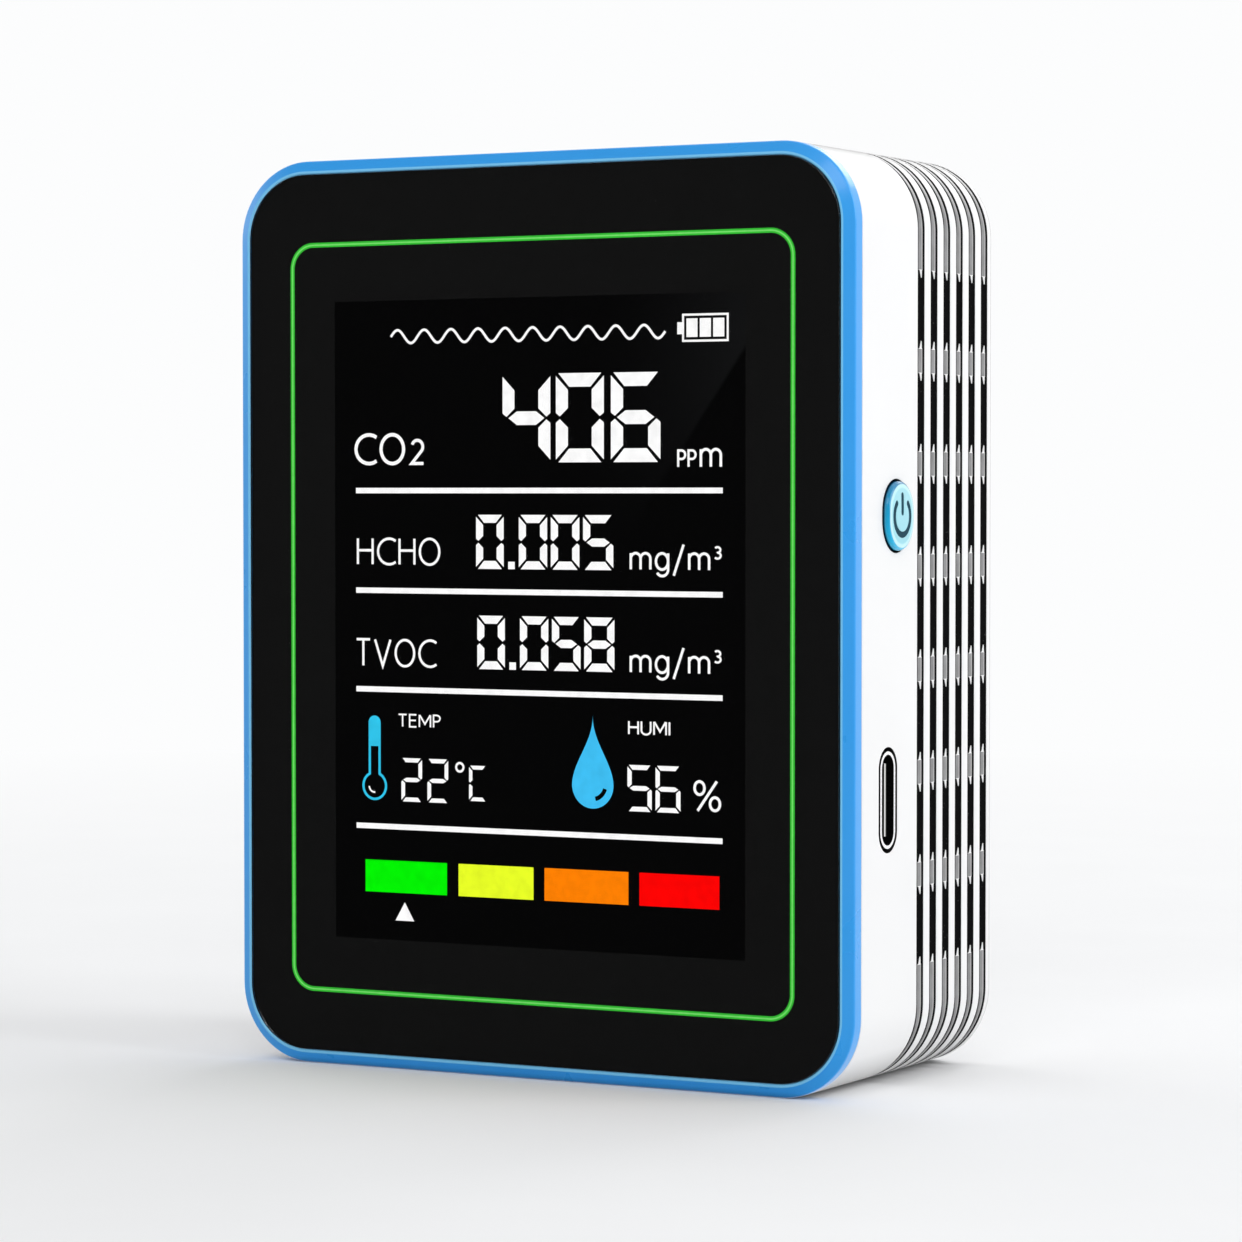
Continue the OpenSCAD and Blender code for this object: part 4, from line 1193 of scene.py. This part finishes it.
def dress_frame_parts():
    """Gives every carried-over part its material, and a fine edge where it is machined or moulded."""
    green = circuit_board("board_mask", (0.02, 0.17, 0.07))
    steel = plated_metal("tin_plate", (0.78, 0.78, 0.79), 0.2)
    screw = plated_metal("nickel_plate", (0.66, 0.65, 0.63), 0.28, 0.4)
    gold = plated_metal("gold_plate", (0.9, 0.66, 0.28), 0.25)
    black = moulded_plastic("black_plastic", (0.02, 0.02, 0.021), 0.42)
    cream = moulded_plastic("cream_plastic", (0.8, 0.77, 0.69), 0.45)
    foam = soft_foam("black_foam", (0.02, 0.02, 0.022))
    screen = vent_screen("vent_screen")
    build_switch_dome(steel)
    looks = {
        "lens_tape": (foam, 0), "dust_screen_right": (screen, 0), "dust_screen_left": (screen, 0),
        "case_screws": (screw, 0.08), "switch_plunger": (black, 0.1),
        "switch_body": (black, 0.1), "switch_cover": (steel, 0.03), "switch_legs": (steel, 0.03),
        "usb_shell": (socket_steel("socket_steel"), 0.05), "usb_contacts": (gold, 0.0),
        "usb_tongue": (tongue_plastic("tongue_plastic"), 0.05),
        "lcd_glass": (display_panel("display_panel"), 0), "display_foam": (foam, 0),
        "lcd_light_guide": (moulded_plastic("light_guide", (0.85, 0.9, 0.9), 0.1, 0.05, coat=0.6), 0.05),
        "lcd_frame": (moulded_plastic("frame_plastic", (0.8, 0.8, 0.77), 0.4), 0.03),
        "lcd_ribbon": (moulded_plastic("ribbon_film", (0.55, 0.28, 0.05), 0.3, 0.1, coat=0.4), 0),
        "ribbon_socket": (cream, 0.06), "main_board": (green, 0.05), "co2_sensor_board": (green, 0.05),
        "board_chips": (moulded_plastic("chip_epoxy", (0.025, 0.025, 0.026), 0.55, 0.8), 0.06),
        "board_passives": (moulded_plastic("ceramic_parts", (0.4, 0.28, 0.16), 0.5), 0.05),
        "board_screws": (screw, 0.05), "battery_cell": (battery_foil("battery_foil"), 0.15),
        "battery_tape": (soft_foam("white_tape", (0.8, 0.8, 0.77)), 0),
        "battery_lead_red": (moulded_plastic("red_insulation", (0.55, 0.02, 0.02), 0.35), 0),
        "battery_lead_black": (moulded_plastic("black_insulation", (0.02, 0.02, 0.02), 0.35), 0),
        "battery_plug": (cream, 0.1), "battery_socket": (cream, 0.1), "co2_sensor_chamber": (gold, 0.12),
        "co2_sensor_filter": (soft_foam("membrane", (0.85, 0.85, 0.85)), 0.03),
        "co2_sensor_pins": (gold, 0.05), "hcho_sensor": (steel, 0.12), "voc_sensor": (steel, 0.1),
        "climate_sensor": (cream, 0.06),
    }
    for name, (material, edge) in looks.items():
        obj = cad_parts[name]
        set_materials(obj, material)
        if edge:
            bevel = obj.modifiers.new("fine_edge", "BEVEL")
            bevel.width = edge * MM
            bevel.segments = 2
            bevel.limit_method = "ANGLE"
            bevel.angle_limit = math.radians(40)
            bevel.use_clamp_overlap = True
        smooth(obj, 35)


# ---- Stage, light and camera ----

BACKGROUND = (0.975, 0.98, 0.985)


def build_stage():
    size = 6.0
    mesh = bpy.data.meshes.new("floor")
    mesh.from_pydata([(-size, -size, 0), (size, -size, 0), (size, size, 0), (-size, size, 0)], [], [(0, 1, 2, 3)])
    floor = bpy.data.objects.new("floor", mesh)
    bpy.context.scene.collection.objects.link(floor)
    s = Shader("pale_floor")
    distance = s.node("ShaderNodeVectorMath", operation="LENGTH")
    s.set(distance.inputs[0], s.position)
    far = s.remap(distance.outputs["Value"], 0.12, 0.5, 0.0, 1.0)
    near = s.node("ShaderNodeBsdfDiffuse")
    s.set(near.inputs["Color"], s.mix(s.noise(30, 2), (0.86, 0.865, 0.875), (0.89, 0.895, 0.905)))
    away = s.node("ShaderNodeEmission")
    s.set(away.inputs["Color"], BACKGROUND)
    choose = s.node("ShaderNodeMixShader")
    s.set(choose.inputs[0], far)
    s.tree.links.new(near.outputs[0], choose.inputs[1])
    s.tree.links.new(away.outputs[0], choose.inputs[2])
    s.tree.links.new(choose.outputs[0], s.output.inputs["Surface"])
    set_materials(floor, s.material)
    floor.visible_glossy = False
    floor.visible_transmission = False


def build_world():
    """Pale to the camera, even to matte surfaces, and dark in front for what the lens mirrors."""
    world = bpy.data.worlds.new("studio")
    bpy.context.scene.world = world
    world.use_nodes = True
    tree = world.node_tree
    tree.nodes.clear()
    output = tree.nodes.new("ShaderNodeOutputWorld")
    path = tree.nodes.new("ShaderNodeLightPath")
    direction = tree.nodes.new("ShaderNodeSeparateXYZ")
    tree.links.new(tree.nodes.new("ShaderNodeTexCoord").outputs["Generated"], direction.inputs[0])
    backness = tree.nodes.new("ShaderNodeMapRange")
    for name, value in zip(("From Min", "From Max", "To Min", "To Max"), (-0.35, 0.6, 0.02, 1.0)):
        backness.inputs[name].default_value = value
    tree.links.new(direction.outputs["Y"], backness.inputs["Value"])

    def background(colour, strength):
        made = tree.nodes.new("ShaderNodeBackground")
        made.inputs["Color"].default_value = (*colour, 1.0)
        if isinstance(strength, float):
            made.inputs["Strength"].default_value = strength
        else:
            tree.links.new(strength, made.inputs["Strength"])
        return made.outputs[0]

    def choose(share, a, b):
        made = tree.nodes.new("ShaderNodeMixShader")
        tree.links.new(share, made.inputs[0])
        tree.links.new(a, made.inputs[1])
        tree.links.new(b, made.inputs[2])
        return made.outputs[0]

    mirrored = tree.nodes.new("ShaderNodeMath")
    mirrored.operation = "MAXIMUM"
    tree.links.new(path.outputs["Is Glossy Ray"], mirrored.inputs[0])
    tree.links.new(path.outputs["Is Transmission Ray"], mirrored.inputs[1])
    lit = choose(mirrored.outputs[0], background((1.0, 1.0, 1.0), 0.56),
                 background((1.0, 1.0, 1.0), backness.outputs["Result"]))
    seen = choose(path.outputs["Is Camera Ray"], lit, background(BACKGROUND, 1.0))
    tree.links.new(seen, output.inputs["Surface"])


def area_light(name, location, target, size, power, colour=(1.0, 1.0, 1.0)):
    light = bpy.data.lights.new(name, "AREA")
    light.shape = "RECTANGLE"
    light.size, light.size_y = size
    light.energy = power
    light.color = colour
    obj = bpy.data.objects.new(name, light)
    obj.location = location
    obj.rotation_euler = (Vector(target) - Vector(location)).to_track_quat("-Z", "Y").to_euler()
    bpy.context.scene.collection.objects.link(obj)
    return obj


def build_lights():
    middle = (0.0, 0.0, HEIGHT / 2 * MM)
    area_light("key_right", (0.75, 0.1, 0.45), middle, (0.6, 0.6), 2.9)
    area_light("overhead", (0.0, 0.05, 0.9), middle, (0.9, 0.9), 1.0)
    area_light("front_fill", (0.35, -0.85, 0.75), middle, (0.7, 0.4), 2.3)
    area_light("edge_light", (0.0, 0.75, 0.55), middle, (0.5, 0.3), 1.2)
    area_light("left_fill", (-0.8, 0.2, 0.4), middle, (0.6, 0.6), 1.2)


CAMERA_AZIMUTH = 28.68
CAMERA_PITCH = 1.735
CAMERA_DISTANCE = 395.0
CAMERA_TARGET = (7.5, -12.6, 43.15)
CAMERA_LENS = 122.6


def build_camera():
    azimuth, pitch = math.radians(CAMERA_AZIMUTH), math.radians(CAMERA_PITCH)
    back = Vector((math.sin(azimuth) * math.cos(pitch), -math.cos(azimuth) * math.cos(pitch), math.sin(pitch)))
    camera = bpy.data.cameras.new("camera")
    camera.lens = CAMERA_LENS
    camera.sensor_width = 36.0
    camera.clip_start = 0.01
    camera.clip_end = 50.0
    obj = bpy.data.objects.new("camera", camera)
    obj.location = (Vector(CAMERA_TARGET) + back * CAMERA_DISTANCE) * MM
    obj.rotation_mode = "QUATERNION"
    obj.rotation_quaternion = (-back).to_track_quat("-Z", "Y")
    bpy.context.scene.collection.objects.link(obj)
    bpy.context.scene.camera = obj


build_rear_case()
build_front_frame()
build_lens()
build_display()
build_button()
dress_frame_parts()
build_stage()
build_world()
build_lights()
build_camera()
bpy.context.scene.view_settings.view_transform = "Standard"
